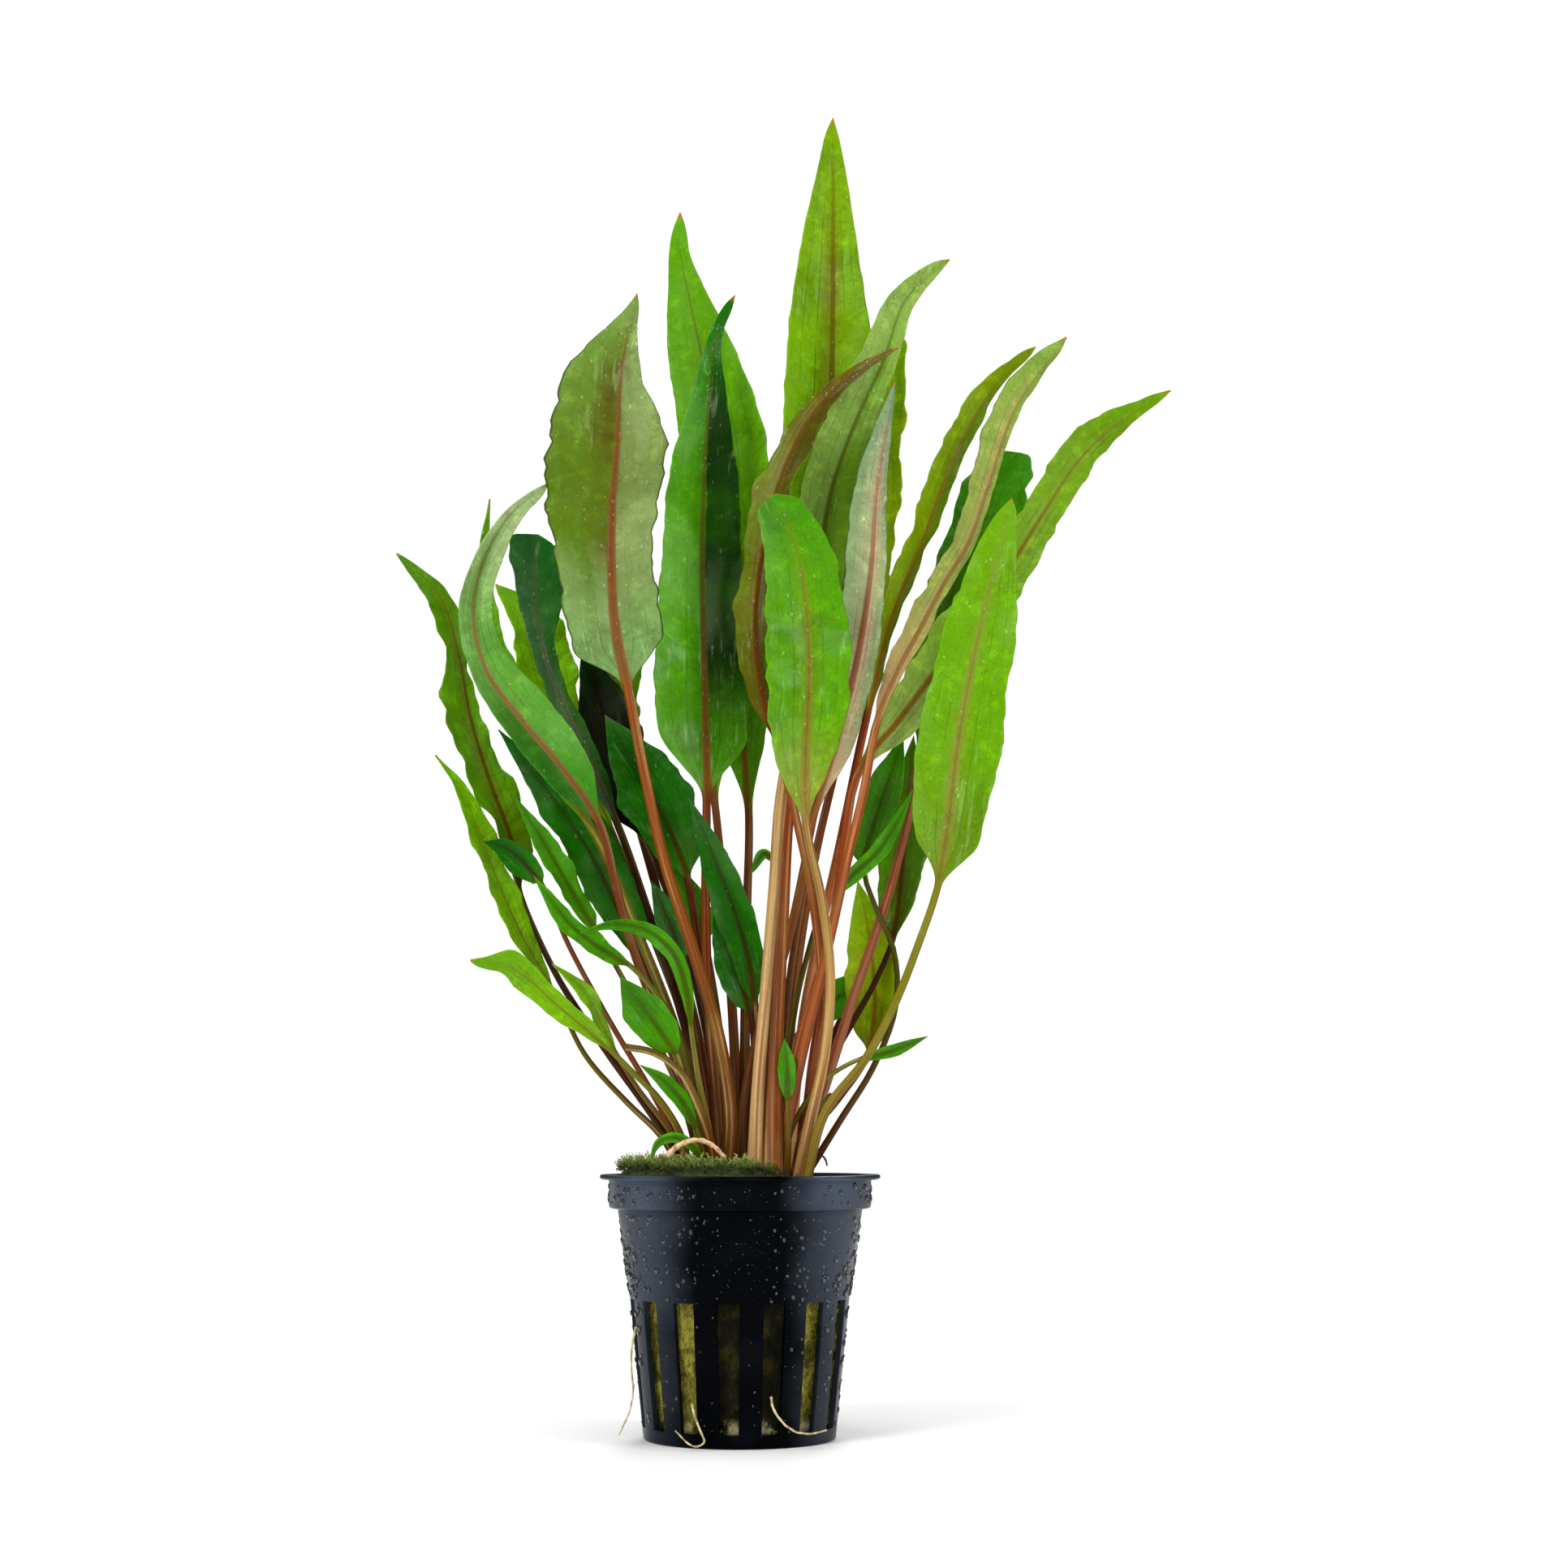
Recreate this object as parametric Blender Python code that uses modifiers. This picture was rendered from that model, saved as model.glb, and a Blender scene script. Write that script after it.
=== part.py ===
"""A potted water plant: a rosette of long-stalked leaves in a slotted net pot packed with mineral wool.

Everything is given in millimetres and turned to metres where an object is made. The origin is the
middle of the pot's flat underside, +Z is up and the plant is seen from -Y.
"""

import math
from typing import NamedTuple

import bmesh
import bpy
import numpy as np

MM = 0.001
GAP = 0.3

# The pot: a tapered net pot for 50 mm holes, with a thin flat rim and a stepped collar.
RIM_RADIUS = 27.5
RIM_TOP = 50.5
RIM_THICK = 0.9
COLLAR_RADIUS = 25.7
COLLAR_FOOT = 44.0
WALL_TOP_RADIUS = 23.9
WALL_MIDDLE_RADIUS = 21.5
BASE_RADIUS = 18.7
BASE_ROUNDING = 0.8
WALL = 1.1
FLOOR = 1.4
POT_STEPS = 60
SLOTS = 15
SLOT_PHASE = math.radians(-95.0)
SLOT_TOP = 26.8
SLOT_FOOT = 2.6
SLOT_WIDE = 4.4
SLOT_NARROW = 3.6
DRAINS = 6
DRAIN_WIDE = 2.4
DRAIN_FROM = 6.5
DRAIN_TO = 14.5

# The packing and the crown that the leaves grow from.
WOOL_CLEARANCE = 0.5
WOOL_TOP = 46.4
CROWN_CENTRE = (3.0, 0.0)
CROWN_RADII = (15.0, 13.0)
CROWN_TOP = 47.5
CROWN_FOOT = 24.5
POCKET_MARGIN = 0.5
MOSS_RADIUS = 23.9
MOSS_MARGIN = 3.0
MOSS_TOP = 53.4
MOSS_LOW_TOP = 49.2

# The front view in which the leaf routes are drawn: an eye in front of the pot that looks a little up.
EYE = np.array((8.6, -500.0, 58.7))
EYE_PITCH = math.radians(7.88)
VIEW_REACH = 494.4
VIEW_CENTRE = (8.9, 129.5)
SIDEWAYS = np.array((1.0, 0.0, 0.0))
FORWARD = np.array((0.0, math.cos(EYE_PITCH), math.sin(EYE_PITCH)))
UPWARD = np.array((0.0, -math.sin(EYE_PITCH), math.cos(EYE_PITCH)))

# The make of every leaf solid.
STALK_RINGS = 7
BLADE_RINGS = 11
EDGE_THICK = 0.4
RIB_THICK = 1.3
TIP_THICK = 0.5
SETTLE_ROUNDS = 70
SETTLE_GAP = 0.45
CELL = 1.0
LEAST_SHOWN = 0.5


class Leaf(NamedTuple):
    """One leaf: its stalk and midrib as drawn in the front view, and how it stands in depth."""

    name: str
    stalk: tuple
    blade: tuple
    depth: tuple
    width: float = 0.0
    widest: float = 0.45
    turn: tuple = (0.0, 0.0)
    fold: float = 14.0
    rib: tuple = (0.5, 0.5)
    stem: tuple = (2.2, 1.6)
    round: tuple = (0.6, 1.0)


LEAVES = (
    Leaf("tall_back_leaf", ((6.6, 50.6), (6.9, 75), (7.5, 88), (8.5, 105), (9.5, 122)),
         ((11.5, 140), (15, 165), (17.5, 190), (18.3, 215), (18.5, 240), (18.5, 260.3)),
         (-8, -8, 14), 17.8, 0.52, (28, 14), rib=(0.54, 0.58), stem=(3.8, 2.0)),
    Leaf("second_tall_leaf", ((1, 50.6), (1.2, 80), (1.6, 105)),
         ((2, 122), (0.5, 145), (-1, 165), (-2.2, 185), (-4, 199), (-6.8, 212), (-9.6, 224.6), (-11.4, 234),
          (-11.5, 241.8)),
         (5, 14, 24), 18.5, 0.5, (-34, -12), round=(0.5, 0.8)),
    Leaf("centre_dark_leaf", ((-3.5, 50.6), (-4.6, 70), (-6, 88), (-6.5, 108)),
         ((-6.3, 125.5), (-6.8, 150), (-7.2, 180), (-6, 203), (-4, 219), (-0.8, 225.5)),
         (-1, 2, 9), 19.5, 0.34, (22, 8), 12, (0.52, 0.5), round=(0.38, 1.0)),
    Leaf("left_broad_leaf", ((-2.4, 50.6), (-1.6, 64), (-4, 80), (-9, 97), (-14.5, 114), (-18.8, 133)),
         ((-21.6, 147.5), (-24.2, 160), (-25, 172), (-24.8, 185), (-23.8, 197), (-23.2, 209), (-20, 225.8)),
         (-7, -24, -24), 24, 0.52, (172, 188), 12, (0.44, 0.7), (2.6, 1.8),
         (0.5, 0.9)),
    Leaf("left_arching_leaf", ((-6, 50.6), (-9, 66), (-15, 82), (-21, 98), (-24.5, 111)),
         ((-27, 121), (-35, 133), (-43, 142.5), (-49.5, 151.5), (-52.2, 162), (-50, 174), (-45, 182.5),
          (-37.5, 188.5)),
         (-4, -12, -13), 10.5, 0.35, (-8, 40), 16),
    Leaf("left_twin_leaf", ((-5, 50.6), (-12, 80), (-21, 103)),
         ((-28, 119), (-38, 135), (-46, 150), (-50, 162), (-50.3, 174), (-48.9, 185.5)),
         (0, -4, -4), 6, 0.45, (35, 40)),
    Leaf("far_left_olive_leaf", ((-8.5, 50.6), (-16, 63), (-26, 77), (-35, 90.5), (-40, 100.5)),
         ((-42.8, 107.5), (-44.8, 118), (-49.3, 130.5), (-53, 143), (-55.2, 155), (-59, 166.5), (-67.2, 174.8)),
         (2, 8, 14), 11, 0.42, (48, 40), stem=(1.7, 1.2), round=(0.5, 0.8)),
    Leaf("thin_lime_leaf", ((-10.2, 50.6), (-15, 60), (-22, 67), (-30, 76)),
         ((-36, 88), (-42, 98), (-47, 109), (-51.5, 121), (-55, 129), (-59.6, 135.2)),
         (-2, -2, 2), 5.2, 0.5, (50, 40), stem=(1.3, 0.9)),
    Leaf("low_lime_leaf", ((-9.2, 50.6), (-11.6, 61), (-16, 68), (-21, 73)),
         ((-25, 77), (-30, 81.5), (-36, 86.5), (-41, 91), (-46, 94), (-52.7, 94.8)),
         (-5, -18, -26), 7.6, 0.45, (-30, -42), stem=(1.4, 1.0)),
    Leaf("thin_wavy_leaf", ((-7, 50.6), (-14, 62), (-20, 70)),
         ((-24, 76.5), (-27, 82), (-30, 88), (-36.7, 94.2)),
         (-4, -8, -10), 2.8, 0.45, (30, 50), stem=(1.2, 0.8)),
    Leaf("small_dark_leaf", ((-7.5, 50.6), (-16, 67), (-26, 84), (-34, 99)),
         ((-38.5, 109.5), (-42, 114), (-46, 117.2), (-50.2, 118.2)),
         (-3, -9, -14), 5.5, 0.45, (-35, -30), stem=(1.2, 0.9)),
    Leaf("narrow_wavy_leaf", ((-6, 50.6), (-9, 70), (-14, 85)),
         ((-21, 93.5), (-28, 98), (-33, 102), (-37, 107), (-40.3, 111.5)),
         (-5, -11, -13), 4.2, 0.45, (-45, -10), stem=(1.3, 1.0)),
    Leaf("light_wavy_leaf", ((-6.5, 50.6), (-12, 70), (-21, 88)),
         ((-27.5, 99.5), (-31, 105), (-35, 112), (-39, 119), (-44.2, 127.2)),
         (0, -3, -3), 5, 0.45, (45, 10), stem=(1.4, 1.0)),
    Leaf("dark_folded_leaf", ((-4.5, 50.6), (-10, 80), (-18, 105)),
         ((-24, 122), (-29, 133), (-34.5, 145), (-38.5, 156), (-40, 166), (-39.5, 178.5)),
         (5, 8, 14), 13, 0.8, (40, 25), 20, round=(1.5, 0.45)),
    Leaf("hidden_lime_leaf", ((-3, 50.6), (-9, 78), (-19, 105)),
         ((-25, 120), (-31, 134), (-37, 148), (-41, 159), (-47.7, 168.7)),
         (8, 20, 28), 12, 0.55, (42, 36)),
    Leaf("large_dark_leaf", ((-5.5, 50.6), (-9, 72), (-14, 85)),
         ((-18.5, 93.5), (-24, 105), (-30, 117), (-38, 128.5), (-47.2, 140.2)),
         (2, 2, 4), 10.5, 0.4, (40, 28)),
    Leaf("centre_left_leaf", ((-3, 50.6), (-5.5, 80), (-8, 98)),
         ((-10, 110.5), (-14, 121), (-19, 131), (-26.3, 143)),
         (2, 5, 8), 14.5, 0.45, (32, 18), 16, (0.55, 0.52)),
    Leaf("black_green_leaf", ((-2, 50.6), (-6, 80), (-12, 103)),
         ((-18, 118), (-24, 130), (-26.5, 142), (-30.5, 157.5)),
         (7, 12, 16), 13, 0.5, (38, 25)),
    Leaf("front_dark_leaf", ((5, 50.6), (4.6, 64), (4.2, 76)),
         ((3.4, 85), (1.6, 97), (-1.3, 106), (-5.2, 116), (-9.8, 126.8)),
         (-1, -2, -14), 7.8, 0.45, (-30, 0), 15, stem=(1.7, 1.2)),
    Leaf("inner_bright_leaf", ((-1, 50.6), (-3, 75), (-5, 90)),
         ((-6.5, 98), (-9.5, 106), (-13.3, 113.5)),
         (3, 5, 8), 7, 0.45, (30, 10), stem=(1.6, 1.1)),
    Leaf("inner_dark_leaf", ((2, 50.6), (2.8, 66), (3, 76)),
         ((2.4, 84), (-0.5, 93), (-5, 104)),
         (2, 1, 0), 7.5, 0.45, (-25, 0), stem=(1.6, 1.1)),
    Leaf("slim_dark_leaf", ((-4, 50.6), (-7, 74), (-9.5, 87)),
         ((-11, 94), (-13.5, 101.5), (-17.2, 110.5)),
         (0, 0, 0), 5.5, 0.45, (40, 20), stem=(1.4, 1.0)),
    Leaf("bent_leaf", ((-4, 50.6), (-6, 62), (-8, 72)),
         ((-9.3, 81), (-10.3, 89), (-13, 96.5), (-18, 100.8), (-24.5, 102), (-31.3, 100.2)),
         (-6, -13, -17), 3.6, 0.5, (10, -35), 20, stem=(1.4, 1.0)),
    Leaf("small_round_leaf", ((-4.4, 50.6), (-7.6, 62), (-10.5, 71)),
         ((-12, 76), (-15, 80.5), (-19, 86), (-23.3, 91.5)),
         (-8, -15, -19), 8, 0.5, (-20, -30), 10, stem=(1.3, 0.9)),
    Leaf("small_narrow_leaf", ((-6.3, 50.6), (-7.2, 57)),
         ((-8.5, 61.5), (-11, 67), (-15, 71.5), (-19.3, 74.2)),
         (-7, -12, -17), 3.4, 0.5, (20, -30), stem=(1.3, 0.9)),
    Leaf("rim_leaf", ((-8.5, 50.6),),
         ((-7.4, 55), (-9.5, 58.6), (-13, 60), (-15.6, 59), (-17.4, 55.6)),
         (-5.5, -11.5, -14), 2.2, 0.5, (0, 20), stem=(1.1, 0.8)),
    Leaf("front_bright_leaf", ((11.5, 50.6), (13.8, 62), (17, 77), (18, 92), (16.3, 107)),
         ((13.3, 121), (13, 135), (13.7, 150), (13.2, 164), (11.2, 176), (7.2, 186.5)),
         (-8, -26, -31), 16.5, 0.5, (24, 20), 12, stem=(2.2, 1.5), round=(0.6, 0.42)),
    Leaf("brown_twisted_leaf", ((12.3, 50.6), (14.3, 72), (16.2, 88), (14.4, 108), (11, 124)),
         ((8, 136), (4.6, 149), (3.6, 161), (5, 175), (9, 191), (16, 204), (23, 210.5), (31.2, 215.3)),
         (-6, -18, -14), 8, 0.5, (-55, -40), 20, stem=(2.2, 1.5), round=(0.45, 0.8)),
    Leaf("pale_grey_leaf", ((3.0, 50.6), (3.7, 68), (5.3, 88), (7, 110), (8.2, 127)),
         ((11, 142), (15, 165), (18.5, 188), (23.5, 202), (28.5, 213), (33, 225), (41.4, 232.6)),
         (-9, -13.5, 2), 14, 0.5, (-34, 20), rib=(0.55, 0.6), stem=(2.6, 1.8), round=(0.6, 0.8)),
    Leaf("yellow_back_leaf", ((9, 50.6), (10.5, 85), (15, 115)),
         ((20, 137), (24, 160), (26.8, 182), (27.6, 202), (31, 218.3)),
         (3, 14, 24), 13, 0.6, (-38, -28), round=(0.6, 0.5)),
    Leaf("pink_under_leaf", ((0.4, 50.6), (1, 66), (4, 81), (9.5, 98), (13, 114)),
         ((14.6, 122.5), (19.5, 139), (23.3, 154), (25.8, 170), (27.2, 188), (30.6, 208.5)),
         (4, -8, -14), 10, 0.45, (146, 205), 12, stem=(2.2, 1.5)),
    Leaf("olive_ribbon_leaf", ((9.5, 50.6), (13, 85), (20, 118)),
         ((25, 142), (30.5, 164), (35.5, 176), (40, 188), (44.5, 198.5), (50, 207.5), (58.3, 215.4)),
         (0, -4, 4), 7.5, 0.5, (50, 15)),
    Leaf("tan_wavy_leaf", ((7.5, 50.6), (11.5, 72), (17, 95), (21.5, 115), (24.8, 129)),
         ((26.8, 140), (31.5, 152), (36.3, 161), (40.3, 168.7), (45.2, 177), (49, 188), (54.6, 204),
          (64.3, 217.3)),
         (-6, -22, -20), 8, 0.45, (136, 215), 14),
    Leaf("deep_right_leaf", ((10, 50.6), (15.5, 66), (22, 86), (30, 110), (33.8, 125)),
         ((35.5, 136), (38, 152), (42.5, 168), (47, 183), (51.5, 195)),
         (2, 8, 16), 14, 0.7, (-38, -38), 18, round=(0.6, 0.5)),
    Leaf("far_right_leaf", ((6.5, 50.6), (11.5, 77), (18.5, 102), (21, 120)),
         ((23, 130.5), (32, 142.5), (42, 156), (52, 170), (60, 183), (68, 194.5), (76, 201.5), (84.8, 206.8)),
         (-1, -16, 0), 12.5, 0.45, (-32, 30), round=(0.6, 0.9)),
    Leaf("right_lime_leaf", ((13, 50.6), (17, 65), (25, 75.5), (31, 87), (35.5, 98.5)),
         ((38.9, 108.5), (41, 119.5), (43, 136), (46.4, 155), (49.4, 168), (51.6, 177), (53.7, 185.5)),
         (-9, -30, -33), 16.2, 0.45, (-28, -18), 12, (0.5, 0.48), (1.8, 1.3), (0.5, 0.9)),
    Leaf("right_olive_leaf", ((11, 50.6), (16, 71), (22, 82), (27, 91)),
         ((30.2, 98.5), (32.2, 112), (33.2, 125), (34.4, 139)),
         (5, 12, 18), 10, 0.45, (-42, -20), stem=(1.5, 1.1)),
    Leaf("bowed_stalk_leaf", ((12, 50.6), (20, 63.5), (26.5, 74), (31, 87), (30.4, 97), (27, 105)),
         ((24.6, 112.5), (26.6, 121), (29.5, 130), (32.4, 139)),
         (0, 3, 4), 8, 0.45, (-40, -20), stem=(1.3, 1.0)),
    Leaf("orange_tip_leaf", ((9, 50.6), (13.5, 60), (20, 68)),
         ((25.3, 76), (26.8, 84), (26.6, 92), (25.5, 101), (23.4, 110.5)),
         (7, 11, 16), 11, 0.45, (-32, -10), stem=(1.4, 1.0)),
    Leaf("low_bright_leaf", ((6, 50.6), (8, 68)),
         ((12, 81), (17, 86), (22, 89), (28, 91.5)),
         (9, 14, 20), 7.5, 0.5, (20, 10), stem=(1.4, 1.0)),
    Leaf("thin_right_leaf", ((8, 50.6), (11, 63), (16.5, 71)),
         ((23.5, 75.3), (29, 76.8), (37.2, 79.9)),
         (-5, -12, -14), 2.4, 0.5, (30, 10), stem=(1.1, 0.8)),
    Leaf("slim_right_leaf", ((7, 50.6), (9.5, 75), (13, 94)),
         ((17, 105.5), (22, 111.5), (27, 116), (31, 122), (34.2, 128.4)),
         (1, 0, 2), 3.6, 0.5, (35, 20), stem=(1.3, 1.0)),
    Leaf("curl_leaf", ((5, 50.6), (6, 85), (7.2, 108)),
         ((7, 114), (5.2, 115.8), (2.4, 111.8)),
         (2, 4, 5), 2.2, 0.5, (0, 0), stem=(1.1, 0.7)),
    Leaf("tiny_inner_leaf", ((9.4, 50.6), (9.8, 60)),
         ((9.6, 67), (9.5, 73), (9, 79.5)),
         (-8, -12.5, -13), 3.6, 0.5, (0, 0), stem=(1.1, 0.8)),
    Leaf("back_leaf_centre", ((0, 50.6), (-1, 80), (-3, 108)),
         ((-4.5, 124), (-7, 142), (-8, 162), (-7, 180), (-4, 196)),
         (11, 38, 62), 14, 0.45, (-20, 20)),
    Leaf("back_leaf_left", ((-4, 50.6), (-8, 80), (-17, 112)),
         ((-23, 134), (-26.5, 154), (-27.5, 174), (-26, 192), (-23, 206)),
         (10, 30, 50), 14, 0.45, (50, 58)),
    Leaf("back_leaf_right", ((6, 50.6), (9, 82), (13, 112)),
         ((15, 128), (17, 145), (18, 162), (19, 180), (20.5, 196)),
         (11, 36, 58), 14, 0.45, (-52, -58)),
    Leaf("back_leaf_far_right", ((8, 50.6), (18, 78), (33, 108)),
         ((39.5, 124), (43, 138), (45, 152), (46, 164), (47, 175)),
         (9, 28, 46), 12, 0.45, (-50, -48)),
    Leaf("cut_stalk_left", ((-3.4, 50.6), (-7.4, 65), (-12, 73.5), (-17, 76.8), (-22.2, 77.8)), (),
         (-7, -16, -16), stem=(1.4, 1.3)),
    Leaf("cut_stalk_right", ((10.8, 50.6), (13.6, 62.5), (18.6, 68.4)), (),
         (-7, -10, -10), stem=(1.7, 1.6)),
)

# Half widths of the large blades as seen from the front, at these shares of the blade: left side, right side.
OUTLINE_AT = (0.0, 0.03, 0.1, 0.2, 0.35, 0.5, 0.65, 0.8, 0.92, 0.98, 1.0)
OUTLINES = {
    "tall_back_leaf": (
        (2.2, 4.4, 6.8, 8.8, 9.5, 8.8, 6.2, 3.0, 1.2),
        (2.2, 4.4, 6.8, 8.6, 9.0, 8.0, 5.0, 2.6, 0.9),
    ),
    "second_tall_leaf": (
        (2.0, 3.8, 5.8, 7.6, 8.6, 8.4, 6.6, 2.9, 1.2),
        (2.0, 3.8, 5.8, 8.0, 9.4, 9.1, 5.7, 2.1, 1.0),
    ),
    "centre_dark_leaf": (
        (5.2, 8.4, 10.0, 9.3, 7.9, 6.9, 3.4, 1.3, 0.8),
        (4.4, 7.9, 8.5, 8.4, 8.2, 7.0, 3.6, 1.2, 0.7),
    ),
    "left_broad_leaf": (
        (3.2, 7.6, 9.4, 10.8, 13.2, 13.2, 10.6, 3.6, 0.8),
        (5.4, 8.4, 9.0, 7.9, 8.9, 9.4, 4.3, 1.4, 0.7),
    ),
    "left_arching_leaf": (
        (1.9, 3.3, 4.1, 3.7, 2.9, 2.7, 1.5, 0.9, 0.5),
        (2.2, 4.2, 6.0, 6.5, 5.0, 3.6, 3.4, 2.0, 1.0),
    ),
    "front_bright_leaf": (
        (1.6, 3.2, 5.4, 7.6, 7.8, 7.7, 6.2, 5.0, 3.2),
        (1.5, 2.8, 5.1, 7.8, 7.9, 7.6, 6.6, 4.6, 2.6),
    ),
    "brown_twisted_leaf": (
        (1.1, 2.6, 4.0, 4.1, 4.3, 3.9, 2.0, 1.1, 0.4),
        (1.0, 1.8, 2.6, 2.9, 3.2, 3.5, 2.1, 0.9, 0.4),
    ),
    "pale_grey_leaf": (
        (1.8, 3.4, 4.8, 6.0, 6.2, 5.7, 4.3, 2.4, 1.2),
        (1.8, 3.2, 4.4, 5.2, 4.8, 3.6, 2.6, 1.8, 0.6),
    ),
    "yellow_back_leaf": (
        (1.4, 2.8, 4.2, 5.4, 5.8, 5.6, 4.6, 3.0, 1.8),
        (1.4, 2.8, 4.0, 4.4, 4.6, 5.2, 5.3, 3.3, 2.0),
    ),
    "pink_under_leaf": (
        (1.2, 2.6, 3.8, 4.6, 4.9, 5.2, 4.0, 1.8, 0.5),
        (1.2, 2.4, 3.5, 3.9, 3.3, 2.7, 1.7, 0.9, 0.4),
    ),
    "olive_ribbon_leaf": (
        (1.0, 1.8, 2.4, 2.8, 3.2, 3.4, 3.0, 1.6, 0.8),
        (0.8, 1.2, 1.4, 1.5, 1.8, 2.0, 1.7, 0.9, 0.6),
    ),
    "tan_wavy_leaf": (
        (1.4, 2.3, 3.0, 3.0, 3.2, 3.8, 4.1, 2.7, 0.9),
        (0.7, 0.9, 1.4, 1.5, 1.3, 1.2, 1.2, 1.0, 0.7),
    ),
    "deep_right_leaf": (
        (1.4, 2.8, 3.9, 4.8, 5.2, 5.2, 4.8, 4.0, 2.2),
        (1.5, 3.0, 4.6, 6.4, 7.6, 8.3, 8.5, 7.2, 4.2),
    ),
    "far_right_leaf": (
        (1.5, 3.0, 4.6, 5.6, 5.2, 3.9, 4.6, 1.8, 0.7),
        (1.5, 3.0, 4.6, 5.4, 4.4, 3.7, 3.0, 1.5, 0.7),
    ),
    "right_lime_leaf": (
        (2.5, 5.0, 7.2, 7.8, 7.4, 6.7, 5.2, 3.2, 1.2),
        (3.0, 5.2, 6.6, 8.0, 7.3, 6.8, 4.4, 2.2, 1.0),
    ),
    "far_left_olive_leaf": (
        (0.9, 1.8, 2.4, 3.6, 5.0, 2.8, 2.6, 1.6, 0.5),
        (1.8, 3.9, 4.4, 4.1, 2.2, 1.9, 2.6, 1.2, 0.5),
    ),
    "dark_folded_leaf": (
        (1.0, 2.0, 2.6, 2.6, 2.3, 2.3, 4.0, 5.4, 4.0),
        (1.0, 2.0, 2.4, 2.4, 2.2, 2.8, 6.0, 4.8, 2.6),
    ),
    "hidden_lime_leaf": (
        (1.5, 3.0, 4.6, 5.6, 6.0, 5.2, 3.0, 1.2, 0.5),
        (1.5, 3.0, 4.0, 4.4, 4.8, 6.6, 7.2, 3.4, 1.0),
    ),
    "low_lime_leaf": (
        (0.6, 1.1, 1.7, 2.3, 2.5, 2.7, 1.9, 1.4, 0.6),
        (0.6, 1.1, 1.6, 2.0, 2.1, 2.4, 2.8, 0.9, 0.4),
    ),
}


def seen(x, z, depth):
    """The real places of points drawn at (x, z) in the front view and standing at y = depth."""
    across = np.asarray(x, float)[..., None] - VIEW_CENTRE[0]
    rise = np.asarray(z, float)[..., None] - VIEW_CENTRE[1]
    sight = FORWARD * VIEW_REACH + SIDEWAYS * across + UPWARD * rise
    return EYE + sight * ((np.asarray(depth, float) - EYE[1]) / sight[..., 1])[..., None]


def drawn(places):
    """Where real places fall in the front view."""
    sight = places - EYE
    reach = VIEW_REACH / (sight @ FORWARD)
    return VIEW_CENTRE[0] + (sight @ SIDEWAYS) * reach, VIEW_CENTRE[1] + (sight @ UPWARD) * reach


def smooth_curve(knots, values, at):
    """A smooth curve through values at knots, read at the given places."""
    slopes = np.gradient(values, knots)
    index = np.clip(np.searchsorted(knots, at, side="right") - 1, 0, len(knots) - 2)
    span = knots[index + 1] - knots[index]
    t = (at - knots[index]) / span
    start = (1 + 2 * t) * (1 - t) ** 2 * values[index] + t * (1 - t) ** 2 * span * slopes[index]
    end = t * t * (3 - 2 * t) * values[index + 1] + t * t * (t - 1) * span * slopes[index + 1]
    return start + end


class Route:
    """The drawn route of a leaf, read by the share of its length, and where its blade starts."""

    def __init__(self, leaf):
        points = np.array(leaf.stalk + leaf.blade, float)
        lengths = np.concatenate(([0.0], np.cumsum(np.hypot(*np.diff(points, axis=0).T))))
        self.knots = lengths / lengths[-1]
        self.points = points
        self.base = self.knots[len(leaf.stalk)] if leaf.blade else 1.0
        self.depth_knots = np.array((0.0, self.base if leaf.blade else 0.5, 1.0))
        self.depths = np.array(leaf.depth, float)

    def places(self, at, offset):
        """Real places along the route, moved in depth by offset."""
        x = smooth_curve(self.knots, self.points[:, 0], at)
        z = smooth_curve(self.knots, self.points[:, 1], at)
        depth = smooth_curve(self.depth_knots, self.depths, at) + offset
        return seen(x, z, depth)


def ring_stations(leaf, route):
    """The shares of the route at which the leaf solid has a ring."""
    stalk = np.linspace(0.0, route.base, STALK_RINGS)
    if not leaf.blade:
        return stalk
    blade = np.array((0.05, 0.13, 0.24, 0.36, 0.48, 0.60, 0.72, 0.83, 0.92, 0.97, 1.0))
    return np.concatenate((stalk, route.base + (1 - route.base) * blade))


def unit(vectors):
    return vectors / np.linalg.norm(vectors, axis=-1, keepdims=True)


def blade_share(leaf, along):
    """Half width of the blade as a share of its largest, from its base (0) to its tip (1)."""
    lower = np.sin(0.5 * math.pi * np.clip(along / leaf.widest, 0, 1)) ** leaf.round[0]
    upper = np.cos(0.5 * math.pi * np.clip((along - leaf.widest) / (1 - leaf.widest), 0, 1)) ** leaf.round[1]
    return np.where(along < leaf.widest, lower, upper)


def leaf_frames(leaf, route, at, offset):
    """Centres, side directions and upper-face directions of a leaf at shares of its route."""
    centre = route.places(at, offset)
    tangent = unit(np.gradient(centre, at, axis=0))
    side = unit(np.cross(centre - EYE, tangent))
    front = np.cross(side, tangent)
    along = np.clip((at - route.base) / max(1 - route.base, 1e-6), 0, 1)
    turn = np.radians(leaf.turn[0] + (leaf.turn[1] - leaf.turn[0]) * along)
    c, s = np.cos(turn)[:, None], np.sin(turn)[:, None]
    return centre, side * c - front * s, front * c + side * s, along, turn


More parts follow.
